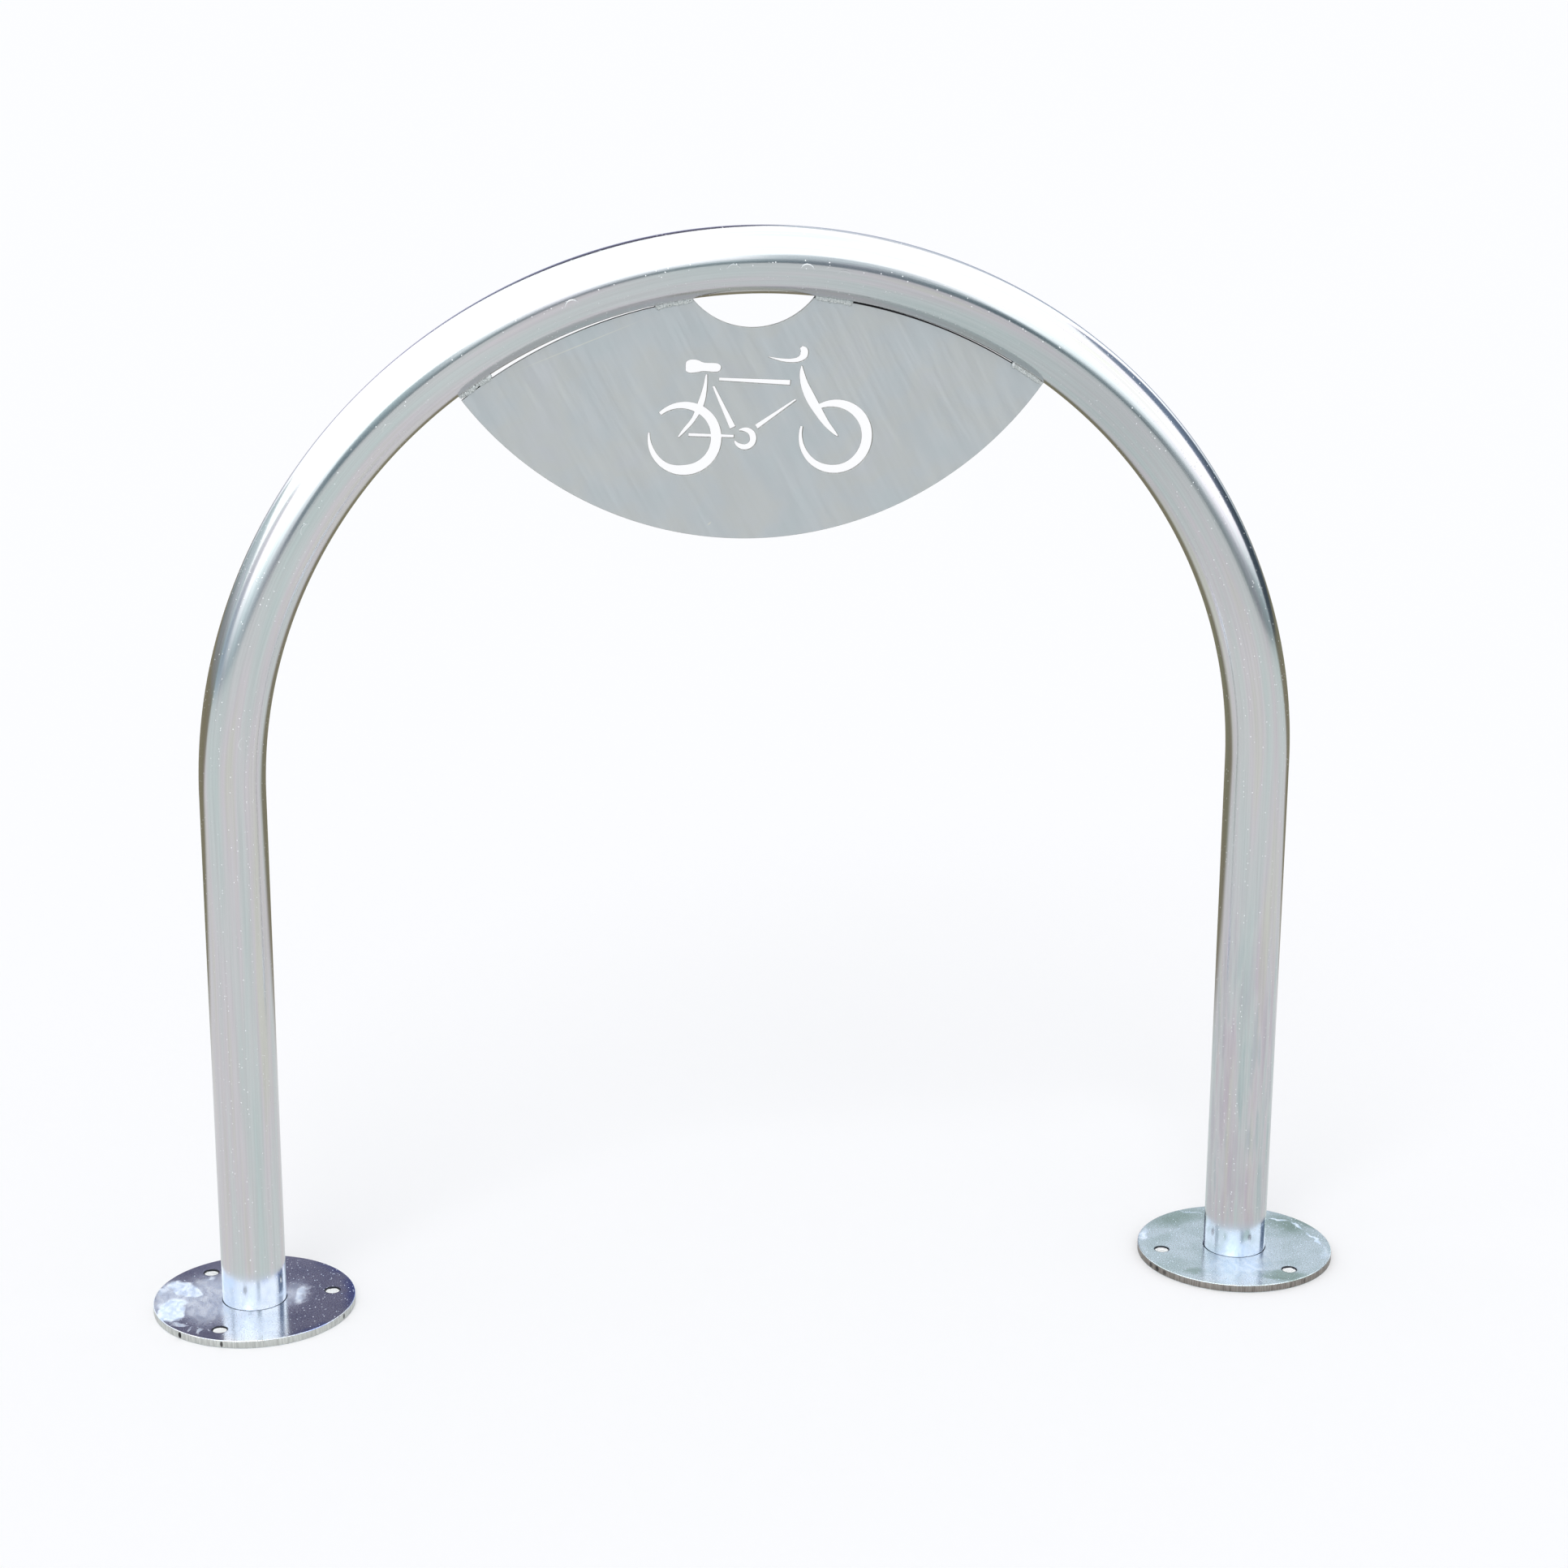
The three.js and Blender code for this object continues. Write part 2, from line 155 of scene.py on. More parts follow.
# Round strokes: centre, outer radius, start and end in degrees, and widths along the stroke.
RING_SHARES = {
    "rear_wheel": ((0, 0.003), 0.244, 134, -191, (
        0.026, 0.042, 0.056, 0.062, 0.071, 0.072, 0.072, 0.069, 0.048, 0.033, 0.012)),
    "front_wheel": ((1, -0.003), 0.246, 120, -198, (
        0.034, 0.052, 0.064, 0.070, 0.072, 0.070, 0.062, 0.055, 0.042, 0.031, 0.018)),
    "chain_ring": ((0.400, -0.005), 0.075, 126, -170, (
        0.012, 0.032, 0.038, 0.045, 0.043, 0.042, 0.038, 0.031, 0.009)),
}

# Weld beads on the plate. Sizes without a unit are shares of the bead's size.
WELD_LENGTH = 28 * MM
WELD_LEG = 3.4 * MM
WELD_REACH = 2.2 * MM
WELD_ROOT = 0.6 * MM  # how far a bead runs into the plate and the tube
WELD_END = 0.12
WELD_WANDER = 0.16
CROWN_POWER = 0.7  # below 1, the crown is fuller than a quarter circle
RIPPLE_PITCH = 1.7 * MM
RIPPLE_HEIGHT = 0.18 * MM
RIPPLE_CURVE = 1.8
SCALE_HEIGHT = 0.035 * MM
KNOB_SWELL = 0.4
KNOB_SHARE = 0.055

# Welds under the flanges
BASE_WELD_LIFT = 0.3 * MM
BASE_RIPPLES = 44
BASE_RIPPLE_SHARE = 0.05

# Fineness
TUBE_SIDES = 112
ARCH_RINGS = 200
LEG_RINGS = 28
LIP_STEPS = 5
ARC_STEPS = 120
SPAN_STEPS = 12
RING_STEPS = 110
ARRIS_STEPS = 3
RIM_SIDES = 240
SOCKET_SIDES = 144
HOLE_SIDES = 64
WELD_RINGS = 150
WELD_SIDES = 28
BASE_WELD_SIDES = 360
BASE_WELD_STEPS = 12
SHARP_ANGLE = math.radians(40)

# Patches on the flanges, in mm from a flange's centre: middle, half length, half width, turn in
# degrees, strength, and share of the patch over which it fades. A film is whitish and rough, and
# a stain only tints.
FLANGE_FILM = {
    "left": [
        (-61, -15, 27, 14, 84, 0.95, 0.4), (-53, 20, 25, 13, -52, 0.85, 0.4),
        (-70, 20, 16, 5, 75, 0.7, 0.6), (-56, -42, 10, 4, -25, 0.6, 0.7),
        (-34, 36, 9, 9, 0, 0.6, 0.8), (-40, -54, 9, 3, 80, 0.6, 0.7),
        (-47, -50, 7, 2, 75, 0.5, 0.7), (35, 1, 26, 8, 84, 0.75, 0.8),
        (-34, 0, 62, 32, 88, 0.52, 0.6), (-60, 2, 46, 26, 88, 0.58, 0.6),
        (29, 2, 38, 18, 85, 0.5, 1.0), (2, -50, 20, 27, 0, 0.3, 0.6),
    ],
    "right": [
        (-67, 28, 18, 5, 68, 0.7, 0.7), (-18, 66, 15, 2, -30, 0.6, 0.7),
        (47, 43, 11, 2, -22, 0.8, 0.6), (60, 28, 13, 2, -65, 0.8, 0.6),
        (66, 3, 17, 2, -78, 0.8, 0.6), (68, -24, 20, 7, 72, 0.5, 1.0),
        (-4, -30, 66, 40, 65, 0.6, 0.9), (-2, -38, 24, 24, 0, 0.75, 0.7),
    ],
}
FLANGE_STAINS = {
    "left": [
        (76, 6, 50, 13, 88, 1.0, 0.9), (62, 46, 26, 12, -55, 0.7, 0.9),
        (50, -58, 30, 8, 28, 0.8, 0.9),
    ],
    "right": [
        (-30, 58, 44, 22, 25, 1.0, 0.9), (52, 30, 38, 20, -60, 1.0, 0.9),
        (22, -60, 26, 12, -12, 1.0, 0.6), (-44, -43, 12, 8, 0, 0.8, 0.7),
        (66, 36, 22, 6, -62, 0.9, 0.5),
    ],
}
RAGGED_REACH = 7 * MM  # the most that noise moves a point of a patch, each way
FLANGE_TINTS = {"left": ("#dce3ed", "#edf2f7"), "right": ("#c6d4d6", "#dae5eb")}
STAIN_TINTS = {"left": "#a8b8f2", "right": "#c4cfc3"}
RIM_TINTS = {"left": ("#c4c5c2", "#e1e2df"), "right": ("#857e79", "#aca6a0")}
RIM_MARKS = {
    "left": [(-54.5, -53, 2, 2, 0, 1.0, 0.4), (-23.4, -72.3, 1.4, 2, 0, 0.9, 0.5),
             (67, -36, 1.5, 2, 0, 0.8, 0.6)],
    "right": [(-72.8, -22, 2, 3, 20, 0.8, 0.7), (-69.8, -30, 1, 3, 20, 0.9, 0.6),
              (-65.8, -38, 2, 3, 30, 0.7, 0.7), (38, -65.8, 1, 2, 0, 0.6, 0.7)],
}
PATCH_DEPTH = 3 * MM

# Scratches on the sign plate's front, laid out as the patches are
PLATE_SCRATCHES = [
    (-126, 729.5, 61, 0.6, 21.2, 0.7, 0.9), (-34.4, 598.2, 2.5, 0.7, 40, 1.0, 0.8),
]
EDGE_TINTS = ("#8f908c", "#b9b9b3")
# Dark, for mill scale in gaps in the zinc, and for painted shade in the plate's narrow gap under
# the tube.
MILL_SCALE_AND_GAP_SHADE = "#1c1b1c"
EDGE_GAP_SHADE = (1.5 * MM, 1.75 * MM)  # painted shade on the plate's edge where the tube is as near as this
FACE_GAP_SHADE = (1.0 * MM, 1.4 * MM)  # and on its faces, where it is as near as this

# Marks that clamps left on the tube, as the distance along it, the angle round it, where 0 is
# away from the arch centre and -90 the front, and the strength.
CLAMP_MARKS = [
    (0.448, -99, 0.5), (0.615, -89, 0.6), (0.709, -94, 0.3), (0.867, -89, 0.9),
    (0.985, -90, 0.5), (1.038, -89, 0.9), (1.065, -93, 0.25),
]
CLAMP_MARK_RADIUS = 5.5 * MM
CLAMP_MARK_WIDTH = 0.65 * MM
FOOT_REFLECTION_ENDS = (0.482, 0.488)  # painted reflection at the tube's feet fades in between these, from the middle of the tube, as a share of its length

# Settings that many nodes share
SMOOTH = {"interpolation_type": "SMOOTHSTEP"}
LAID_OVER = {"data_type": "RGBA"}
TINTED = {"data_type": "RGBA", "blend_type": "MULTIPLY"}


def hex_colour(text):
    """Linear RGBA of an sRGB hex colour."""
    channels = np.array([int(text[i:i + 2], 16) for i in (1, 3, 5)]) / 255
    linear = np.where(channels > 0.04045, ((channels + 0.055) / 1.055) ** 2.4, channels / 12.92)
    return (*linear.tolist(), 1.0)


def feed(tree, node, inputs):
    """Links or sets a node's inputs. A node stands for its first output in use, and text for a
    hex colour."""
    for name, value in inputs.items():
        if isinstance(value, bpy.types.Node):
            value = next(output for output in value.outputs if output.enabled)
        if isinstance(value, bpy.types.NodeSocket):
            tree.links.new(value, node.inputs[name])
        else:
            node.inputs[name].default_value = hex_colour(value) if isinstance(value, str) else value


def add(tree, kind, settings=None, inputs=None):
    """Adds a node, sets its properties and feeds its inputs. The setting named stops holds the
    places and colours, or greys, of a colour ramp."""
    node = tree.nodes.new("ShaderNode" + kind)
    settings = dict(settings or {})
    for number, (place, colour) in enumerate(settings.pop("stops", [])):
        elements = node.color_ramp.elements
        element = elements[number] if number < len(elements) else elements.new(place)
        element.position = place
        element.color = hex_colour(colour) if isinstance(colour, str) else (colour,) * 3 + (1,)
    for name, value in settings.items():
        setattr(node, name, value)
    feed(tree, node, inputs or {})
    return node


def new_finish(name, kind="BsdfPrincipled"):
    """A material with one shader: the material, its node tree and the shader."""
    material = bpy.data.materials.new(name)
    material.use_nodes = True
    tree = material.node_tree
    tree.nodes.clear()
    shader = add(tree, kind)
    add(tree, "OutputMaterial", inputs={0: shader})
    return material, tree, shader


# Camera and stage

def link_object(name, data):
    """An object at the origin, unturned, that shows this mesh, camera or lamp."""
    thing = bpy.data.objects.new(name, data)
    bpy.context.scene.collection.objects.link(thing)
    return thing


def place_camera():
    """Looks along azimuth and elevation, and is then rolled about the line of sight."""
    forward = Vector((
        math.sin(CAMERA_AZIMUTH) * math.cos(CAMERA_ELEVATION),
        math.cos(CAMERA_AZIMUTH) * math.cos(CAMERA_ELEVATION),
        math.sin(CAMERA_ELEVATION),
    ))
    level = forward.cross(Vector((0, 0, 1))).normalized()
    up = level.cross(forward)
    right = math.cos(CAMERA_ROLL) * level + math.sin(CAMERA_ROLL) * up
    up = right.cross(forward)
    data = bpy.data.cameras.new("camera")
    data.lens = CAMERA_LENS
    data.sensor_width = SENSOR_WIDTH
    data.clip_end = 2 * FLOOR_HALF
    camera = link_object("camera", data)
    turned = Matrix((right, up, -forward)).transposed().to_4x4()
    camera.matrix_world = Matrix.Translation(CAMERA_POSITION) @ turned
    bpy.context.scene.camera = camera


def pale_floor():
    """A flat floor, white to the camera and a little greyer in reflections."""
    mesh = bpy.data.meshes.new("floor")
    corners = [(-1, -1), (1, -1), (1, 1), (-1, 1)]
    mesh.from_pydata([(FLOOR_HALF * x, FLOOR_HALF * y, 0) for x, y in corners], [], [range(4)])
    material, tree, shader = new_finish("pale_floor")
    path = add(tree, "LightPath").outputs
    place = add(tree, "TexCoord").outputs["Object"]
    depth = add(tree, "SeparateXYZ", inputs={0: place}).outputs["Y"]
    behind = add(tree, "MapRange", SMOOTH, {
        0: depth, "From Min": FLOOR_CHANGE[0], "From Max": FLOOR_CHANGE[1],
        "To Max": path["Is Glossy Ray"]})
    mirrored = add(tree, "Mix", LAID_OVER, {0: behind, 6: FLOOR_MIRRORED, 7: FLOOR_BEHIND})
    colour = add(tree, "Mix", LAID_OVER, {0: path["Is Camera Ray"], 6: mirrored, 7: FLOOR_SEEN})
    feed(tree, shader, {"Base Color": colour, "Roughness": 1.0, "Specular IOR Level": 0.0})
    mesh.materials.append(material)
    return link_object("floor", mesh)


def dim_screens():
    """Screens in a ring. Each rises over the azimuth as a box with round shoulders, and the
    ring's height is that of the tallest. Its colours are the mean of theirs, weighed by a power
    of e of each height, and change smoothly from foot to top."""
    azimuth = np.radians(np.arange(360.0))
    level = np.linspace(0, 1, SCREEN_ROWS)[:, None]
    centre, half, top = (np.radians([s[k] for s in SCREENS])[:, None] for k in range(3))
    apart = np.abs((azimuth - centre + np.pi) % (2 * np.pi) - np.pi) / half
    height = top * np.sqrt(np.clip(1 - apart**4, 0, 1))
    share = np.exp(height / SCREEN_BLEND)
    foot_tint, top_tint = ((share / share.sum(0)).T @ np.array(
        [hex_colour(s[k])[:3] for s in SCREENS]) for k in (3, 4))
    start, end = SCREEN_CHANGE
    change = np.clip((level[..., None] - start) / (end - start), 0, 1)
    tint = foot_tint + (3 - 2 * change) * change**2 * (top_tint - foot_tint)
    rise = level * (SCREEN_BASE + SCREEN_DISTANCE * np.tan(height.max(0)))
    points = np.stack([SCREEN_DISTANCE * np.sin(azimuth) + 0 * rise,
                       SCREEN_DISTANCE * np.cos(azimuth) + 0 * rise, rise], -1)
    mesh = grid_mesh("dim_screens", points, close_second=True)
    attribute = mesh.attributes.new("tint", "FLOAT_COLOR", "POINT")
    attribute.data.foreach_set("color", np.insert(tint, 3, 1.0, axis=-1).ravel())
    material, tree, glow = new_finish("dim_screens", "Emission")
    colour = add(tree, "Attribute", {"attribute_name": "tint"}).outputs["Color"]
    feed(tree, glow, {"Color": colour})
    mesh.materials.append(material)
    screens = link_object("dim_screens", mesh)
    screens.visible_camera = screens.visible_diffuse = screens.visible_shadow = False
    return screens


def pale_sky():
    """Plain soft light, and a white sky, brighter overhead, for what is seen or mirrored."""
    world = bpy.data.worlds.new("sky")
    bpy.context.scene.world = world
    world.use_nodes = True
    tree = world.node_tree
    tree.nodes.clear()
    direction = add(tree, "TexCoord").outputs["Generated"]
    height = add(tree, "SeparateXYZ", inputs={0: direction}).outputs["Z"]
    strength = add(tree, "MapRange", SMOOTH, {
        0: height, "From Min": 0.03, "From Max": 0.22,
        "To Min": SKY_GLOW[0], "To Max": SKY_GLOW[1]})
    colour = add(tree, "ValToRGB", {"stops": [(0.0, "#dde9f3"), (0.2, "#fbfdff")]}, {0: height})
    glow = add(tree, "Background", inputs={"Color": colour, "Strength": strength})
    light = add(tree, "Background", inputs={"Color": "#fbfcff", "Strength": SKY_LIGHT})
    path = add(tree, "LightPath").outputs
    mirrored = add(tree, "Math", {"operation": "MAXIMUM"}, {
        0: path["Is Glossy Ray"], 1: path["Is Transmission Ray"]})
    either = add(tree, "Math", {"operation": "MAXIMUM"}, {
        0: path["Is Camera Ray"], 1: mirrored})
    mix = add(tree, "MixShader", inputs={0: either, 1: light, 2: glow})
    add(tree, "OutputWorld", inputs={0: mix})


def soft_lamp():
    """A wide lamp above the left front, which gives the soft shadow."""
    data = bpy.data.lights.new("soft_lamp", "SUN")
    data.energy = LAMP_STRENGTH
    data.angle = LAMP_WIDTH
    link_object("soft_lamp", data).rotation_euler = LAMP_TURN


# Shapes

def grid_mesh(name, points, close_first=False, close_second=False):
    """A mesh of quads over a grid of points, joined end to end where it is closed."""
    rows, columns = points.shape[:2]
    index = np.arange(rows * columns).reshape(rows, columns)
    if close_first:
        index = np.concatenate([index, index[:1]])
    if close_second:
        index = np.concatenate([index, index[:, :1]], axis=1)
    faces = np.stack([index[:-1, :-1], index[1:, :-1], index[1:, 1:], index[:-1, 1:]], -1)
    mesh = bpy.data.meshes.new(name)
    mesh.from_pydata(points.reshape(-1, 3).tolist(), [], faces.reshape(-1, 4).tolist())
    mesh.shade_smooth()
    return mesh


def hoop_line(along):
    """Middle line of the hoop at distances along it from the left end: up the left leg, round
    a half circle of the bend radius, and down the right leg. Also the direction away from the
    arch centre there."""
    angle = np.pi - np.clip((along - LEG_LENGTH) / BEND_RADIUS, 0, np.pi)
    drop = np.maximum(LEG_LENGTH - np.minimum(along, TUBE_LENGTH - along), 0)
    away = np.stack([np.cos(angle), np.zeros_like(angle), np.sin(angle)], -1)
    middle = BEND_RADIUS * away + np.stack([0 * drop, 0 * drop, ARCH_HEIGHT - drop], -1)
    return middle, away


def hoop_tube():
    """The tube's wall as one closed surface: its outline in distance along and radius, out
    along the outside and back along the bore with rounded lips, turned round the middle line.
    The attribute named straight holds each point's place on the same tube before it was bent."""
    lip, bore = TUBE_END_ROUND, TUBE_RADIUS - TUBE_WALL
    quarter = np.linspace(0, np.pi / 2, LIP_STEPS)
    outer = np.concatenate([
        np.linspace(lip, LEG_LENGTH, LEG_RINGS)[:-1],
        np.linspace(LEG_LENGTH, TUBE_LENGTH - LEG_LENGTH, ARCH_RINGS),
        np.linspace(TUBE_LENGTH - LEG_LENGTH, TUBE_LENGTH - lip, LEG_RINGS)[1:],
    ])
    inner = outer[::-2]
    end = TUBE_LENGTH - lip
    along = np.concatenate([
        outer, end + lip * np.sin(quarter[1:]), end + lip * np.cos(quarter),
        inner[1:-1], lip - lip * np.sin(quarter), lip - lip * np.cos(quarter[:-1]),
    ])
    radius = np.concatenate([
        np.full(len(outer), TUBE_RADIUS), TUBE_RADIUS - lip + lip * np.cos(quarter[1:]),
        bore + lip - lip * np.sin(quarter), np.full(len(inner) - 2, bore),
        bore + lip - lip * np.cos(quarter), TUBE_RADIUS - lip + lip * np.sin(quarter[:-1]),
    ])
    middle, away = hoop_line(along)
    turn = np.linspace(0, 2 * np.pi, TUBE_SIDES + 1)[:-1]
    across = np.cos(turn)[None, :, None] * away[:, None, :]
    across = across + np.sin(turn)[None, :, None] * np.array([0.0, 1.0, 0.0])
    points = middle[:, None, :] + radius[:, None, None] * across
    mesh = grid_mesh("hoop_tube_zinc", points, True, True)
    straight = np.stack([
        radius[:, None] * np.cos(turn), radius[:, None] * np.sin(turn),
        np.broadcast_to(along[:, None], (len(along), len(turn))),
    ], -1)
    attribute = mesh.attributes.new("straight", "FLOAT_VECTOR", "POINT")
    attribute.data.foreach_set("vector", straight.astype(np.float32).ravel())
    return mesh


def round_outline(centre, radius, sides):
    """Points evenly spaced round a circle, anticlockwise."""
    turn = np.linspace(0, 2 * np.pi, sides + 1)[:-1]
    return np.asarray(centre) + radius * np.stack([np.cos(turn), np.sin(turn)], -1)


def plate_arc(edge, start, end, steps):
    """Points of a circle centred on the plate's middle line, given as its radius and height."""
    turn = np.linspace(start, end, steps + 1)
    return np.stack([edge[0] * np.cos(turn), edge[1] + edge[0] * np.sin(turn)], -1)


def plate_corner(first, second):
    """Right-hand point where two circles centred on the plate's middle line cross."""
    square = first[0] ** 2 - second[0] ** 2 + second[1] ** 2 - first[1] ** 2
    height = square / (2 * (second[1] - first[1]))
    return np.array([math.sqrt(first[0] ** 2 - (height - first[1]) ** 2), height])


def angle_on(edge, point):
    """Angle at which a point lies about the centre of one of the plate's edges."""
    return math.atan2(point[1] - edge[1], point[0])


def plate_outline():
    """The plate's rim, anticlockwise: for each side in turn half of the bottom arc, the top arc
    up to the scoop and half of the scoop, where the left side is the mirror image of a right
    side of its own slack, taken backwards."""
    halves = []
    for side, top in TOP_EDGES.items():
        tip, corner = plate_corner(top, BOTTOM_EDGE), plate_corner(top, SCOOP_EDGE)
        half = np.concatenate([
            plate_arc(BOTTOM_EDGE, -np.pi / 2, angle_on(BOTTOM_EDGE, tip), ARC_STEPS)[:-1],
            plate_arc(top, angle_on(top, tip), angle_on(top, corner), ARC_STEPS)[:-1],
            plate_arc(SCOOP_EDGE, angle_on(SCOOP_EDGE, corner), -np.pi / 2, ARC_STEPS // 2),
        ])
        halves.append(half * [side, 1])
    left, right = halves
    return np.concatenate([right[:-1], left[:0:-1]])


def smooth_line(points, closed=False):
    """A line through the points, each span a cubic whose slopes at its ends come from its
    neighbours, with knots set apart by the square root of the distance."""
    p = np.asarray(points, float)
    if closed:
        p = np.concatenate([p[-1:], p, p[:2]])
    else:
        p = np.concatenate([2 * p[:1] - p[1:2], p, 2 * p[-1:] - p[-2:-1]])
    a, b, c, d = p[:-3], p[1:-2], p[2:-1], p[3:]
    ab, bc, cd = (np.sqrt(np.linalg.norm(y - x, axis=1))[:, None]
                  for x, y in ((a, b), (b, c), (c, d)))
    leave = bc * ((b - a) / ab - (c - a) / (ab + bc) + (c - b) / bc)
    arrive = bc * ((c - b) / bc - (d - b) / (bc + cd) + (d - c) / cd)
    t = np.linspace(0, 1, SPAN_STEPS + 1)[:-1][None, :, None]
    b, c, leave, arrive = b[:, None], c[:, None], leave[:, None], arrive[:, None]
    line = (2 * t**3 - 3 * t**2 + 1) * b + (t**3 - 2 * t**2 + t) * leave
    line = line + (3 * t**2 - 2 * t**3) * c + (t**3 - t**2) * arrive
    line = line.reshape(-1, p.shape[1])
    return line if closed else np.concatenate([line, p[-2:-1]])


def stroke_outline(shares):
    """A smooth middle line with half its width laid off to each side."""
    line = smooth_line(shares)
    slope = np.gradient(line[:, :2], axis=0)
    across = np.stack([-slope[:, 1], slope[:, 0]], -1)
    across /= np.linalg.norm(across, axis=1, keepdims=True)
    half = line[:, 2:3] / 2
    return np.concatenate([line[:, :2] + half * across, (line[:, :2] - half * across)[::-1]])


def ring_outline(centre, radius, start, end, widths):
    """An arc as the outer edge, and an inner edge that lies the width inside it."""
    share = np.linspace(0, 1, RING_STEPS + 1)
    turn = np.radians(start + (end - start) * share)
    ray = np.stack([np.cos(turn), np.sin(turn)], -1)
    widths = np.asarray(widths)
    line = smooth_line(np.stack([np.arange(len(widths)) / (len(widths) - 1), widths], -1))
    width = np.interp(share, line[:, 0], line[:, 1])[:, None]
    return np.asarray(centre) + np.concatenate([radius * ray, ((radius - width) * ray)[::-1]])


def bicycle_outlines():
    """Every stroke's outline, turned with the axle line and placed on the plate."""
    outlines = [stroke_outline(shares) for shares in STROKE_SHARES.values()]
    outlines += [ring_outline(*shares) for shares in RING_SHARES.values()]
    outlines.append(smooth_line(SADDLE_SHARES, closed=True))
    cos, sin = math.cos(FIGURE_TURN), math.sin(FIGURE_TURN)
    turn = np.array([[cos, sin], [-sin, cos]])
    place = np.array([FIGURE_SHIFT, TUBE_UNDERSIDE - AXLE_DROP])
    return [(o * WHEELBASE - [WHEELBASE / 2, 0]) @ turn + place for o in outlines]


def edge_profile(half, arris, top_arris=None):
    """Inset and height down a sheet's edge: a round arris, the wall, and a round arris."""
    top = arris if top_arris is None else top_arris
    turn = np.linspace(0, np.pi / 2, ARRIS_STEPS + 1)
    inset = np.concatenate([top - top * np.sin(turn), arris - arris * np.cos(turn)])
    height = np.concatenate([half - top + top * np.cos(turn), arris - half - arris * np.sin(turn)])
    return np.stack([inset, height], -1)


def inside(points, start, end):
    """Which points lie within edges: a line to the right of one crosses an odd number."""
    x, y = points[:, :1], points[:, 1:]
    spans = (start[:, 1] > y) != (end[:, 1] > y)
    rise = end[:, 1] - start[:, 1]
    slope = (end[:, 0] - start[:, 0]) / np.where(rise == 0, 1, rise)
    return (spans & (x < start[:, 0] + (y - start[:, 1]) * slope)).sum(1) % 2 == 1


def triangulate(points, edges):
    """Triangles between points, with every edge kept: all the points, with those added where
    edges cross, the triangles, and the middle of each."""
    found, _, tiles, _, _, _ = delaunay_2d_cdt(points.tolist(), edges.tolist(), [], 0, 1e-8, True)
    found, tiles = np.array(found), np.array(tiles)
    return found, tiles, found[tiles].mean(1)


def nearest(points, others):
    """Number of the nearest of the others to each point."""
    return ((points[:, None] - others[None]) ** 2).sum(-1).argmin(1)


def fill_between(points, rim):
    """Triangles of the metal between the edges of its rim."""
    found, tiles, middle = triangulate(points, rim)
    kept = tiles[inside(middle, points[rim[:, 0]], points[rim[:, 1]])]
    return nearest(found, points)[kept]


def cut_sheet(name, outlines, profiles, finishes, plain_arrises=False):
    """A sheet with its first outline as the rim and the others cut through it. Where outlines
    overlap, one triangulation joins them. Each edge point moves into the metal along its
    mitre and down, as its profile says, and both faces are triangulated between the edges.
    Walls have the finish of their outline. So do their arrises, but with plain_arrises those
    of finish 1 have the faces' finish."""
    sizes = np.array([len(outline) for outline in outlines])
    corners = np.concatenate(outlines)
    beside = np.arange(len(corners)) + 1
    last = np.cumsum(sizes) - 1
    beside[last] = last + 1 - sizes
    found, tiles, middle = triangulate(
        corners, np.stack([np.arange(len(corners)), beside], -1))
    covered = np.array([inside(middle, o, np.roll(o, -1, axis=0)) for o in outlines])
    metal = tiles[covered[0] & ~covered[1:].any(0)]
    edges = np.concatenate([metal[:, [0, 1]], metal[:, [1, 2]], metal[:, [2, 0]]])
    keys = edges[:, 0] * len(found) + edges[:, 1]
    twins = edges[:, 1] * len(found) + edges[:, 0]
    used, rim = np.unique(edges[~np.isin(keys, twins)], return_inverse=True)
    rim = rim.reshape(-1, 2)
    place = found[used]
    along = place[rim[:, 1]] - place[rim[:, 0]]
    along /= np.linalg.norm(along, axis=1, keepdims=True)
    inward = np.stack([-along[:, 1], along[:, 0]], -1)
    leaving, arriving = np.zeros_like(place), np.zeros_like(place)
    leaving[rim[:, 0]] = inward
    arriving[rim[:, 1]] = inward
    sharpness = 1 + (leaving * arriving).sum(1, keepdims=True)
    mitre = (leaving + arriving) / np.maximum(sharpness, 0.4)
    owner = np.repeat(np.arange(len(outlines)), sizes)[nearest(place, corners)]
    profile = np.stack(profiles)[owner]
    rings = place[:, None, :] + profile[:, :, :1] * mitre[:, None, :]
    layers, count = profile.shape[1], len(used)
    points = np.concatenate([rings, profile[:, :, 1:]], -1).transpose(1, 0, 2).reshape(-1, 3)
    step = np.arange(layers - 1)[:, None] * count
    walls = np.stack([rim[:, 0] + step, rim[:, 0] + step + count,
                      rim[:, 1] + step + count, rim[:, 1] + step], -1).reshape(-1, 4)
    top = fill_between(points[:count, :2], rim)
    bottom = fill_between(points[-count:, :2], rim)[:, ::-1] + (layers - 1) * count
    mesh = bpy.data.meshes.new(name)
    mesh.from_pydata(points.tolist(), [], walls.tolist() + top.tolist() + bottom.tolist())
    is_wall = np.arange(len(walls) + len(top) + len(bottom)) < len(walls)
    band = np.arange(layers - 1)[:, None]
    arris = (band < ARRIS_STEPS) | (band >= layers - 1 - ARRIS_STEPS)
    finish = np.asarray(finishes)[owner[rim[:, 0]]] + 0 * band
    finish = np.where(plain_arrises & arris & (finish == 1), 0, finish).ravel()
    finish = np.append(finish, np.zeros(len(top) + len(bottom), int))
    mesh.polygons.foreach_set("material_index", finish.astype(np.int32))
    mesh.set_sharp_from_angle(angle=SHARP_ANGLE)
    mesh.polygons.foreach_set("use_smooth", is_wall)
    return mesh


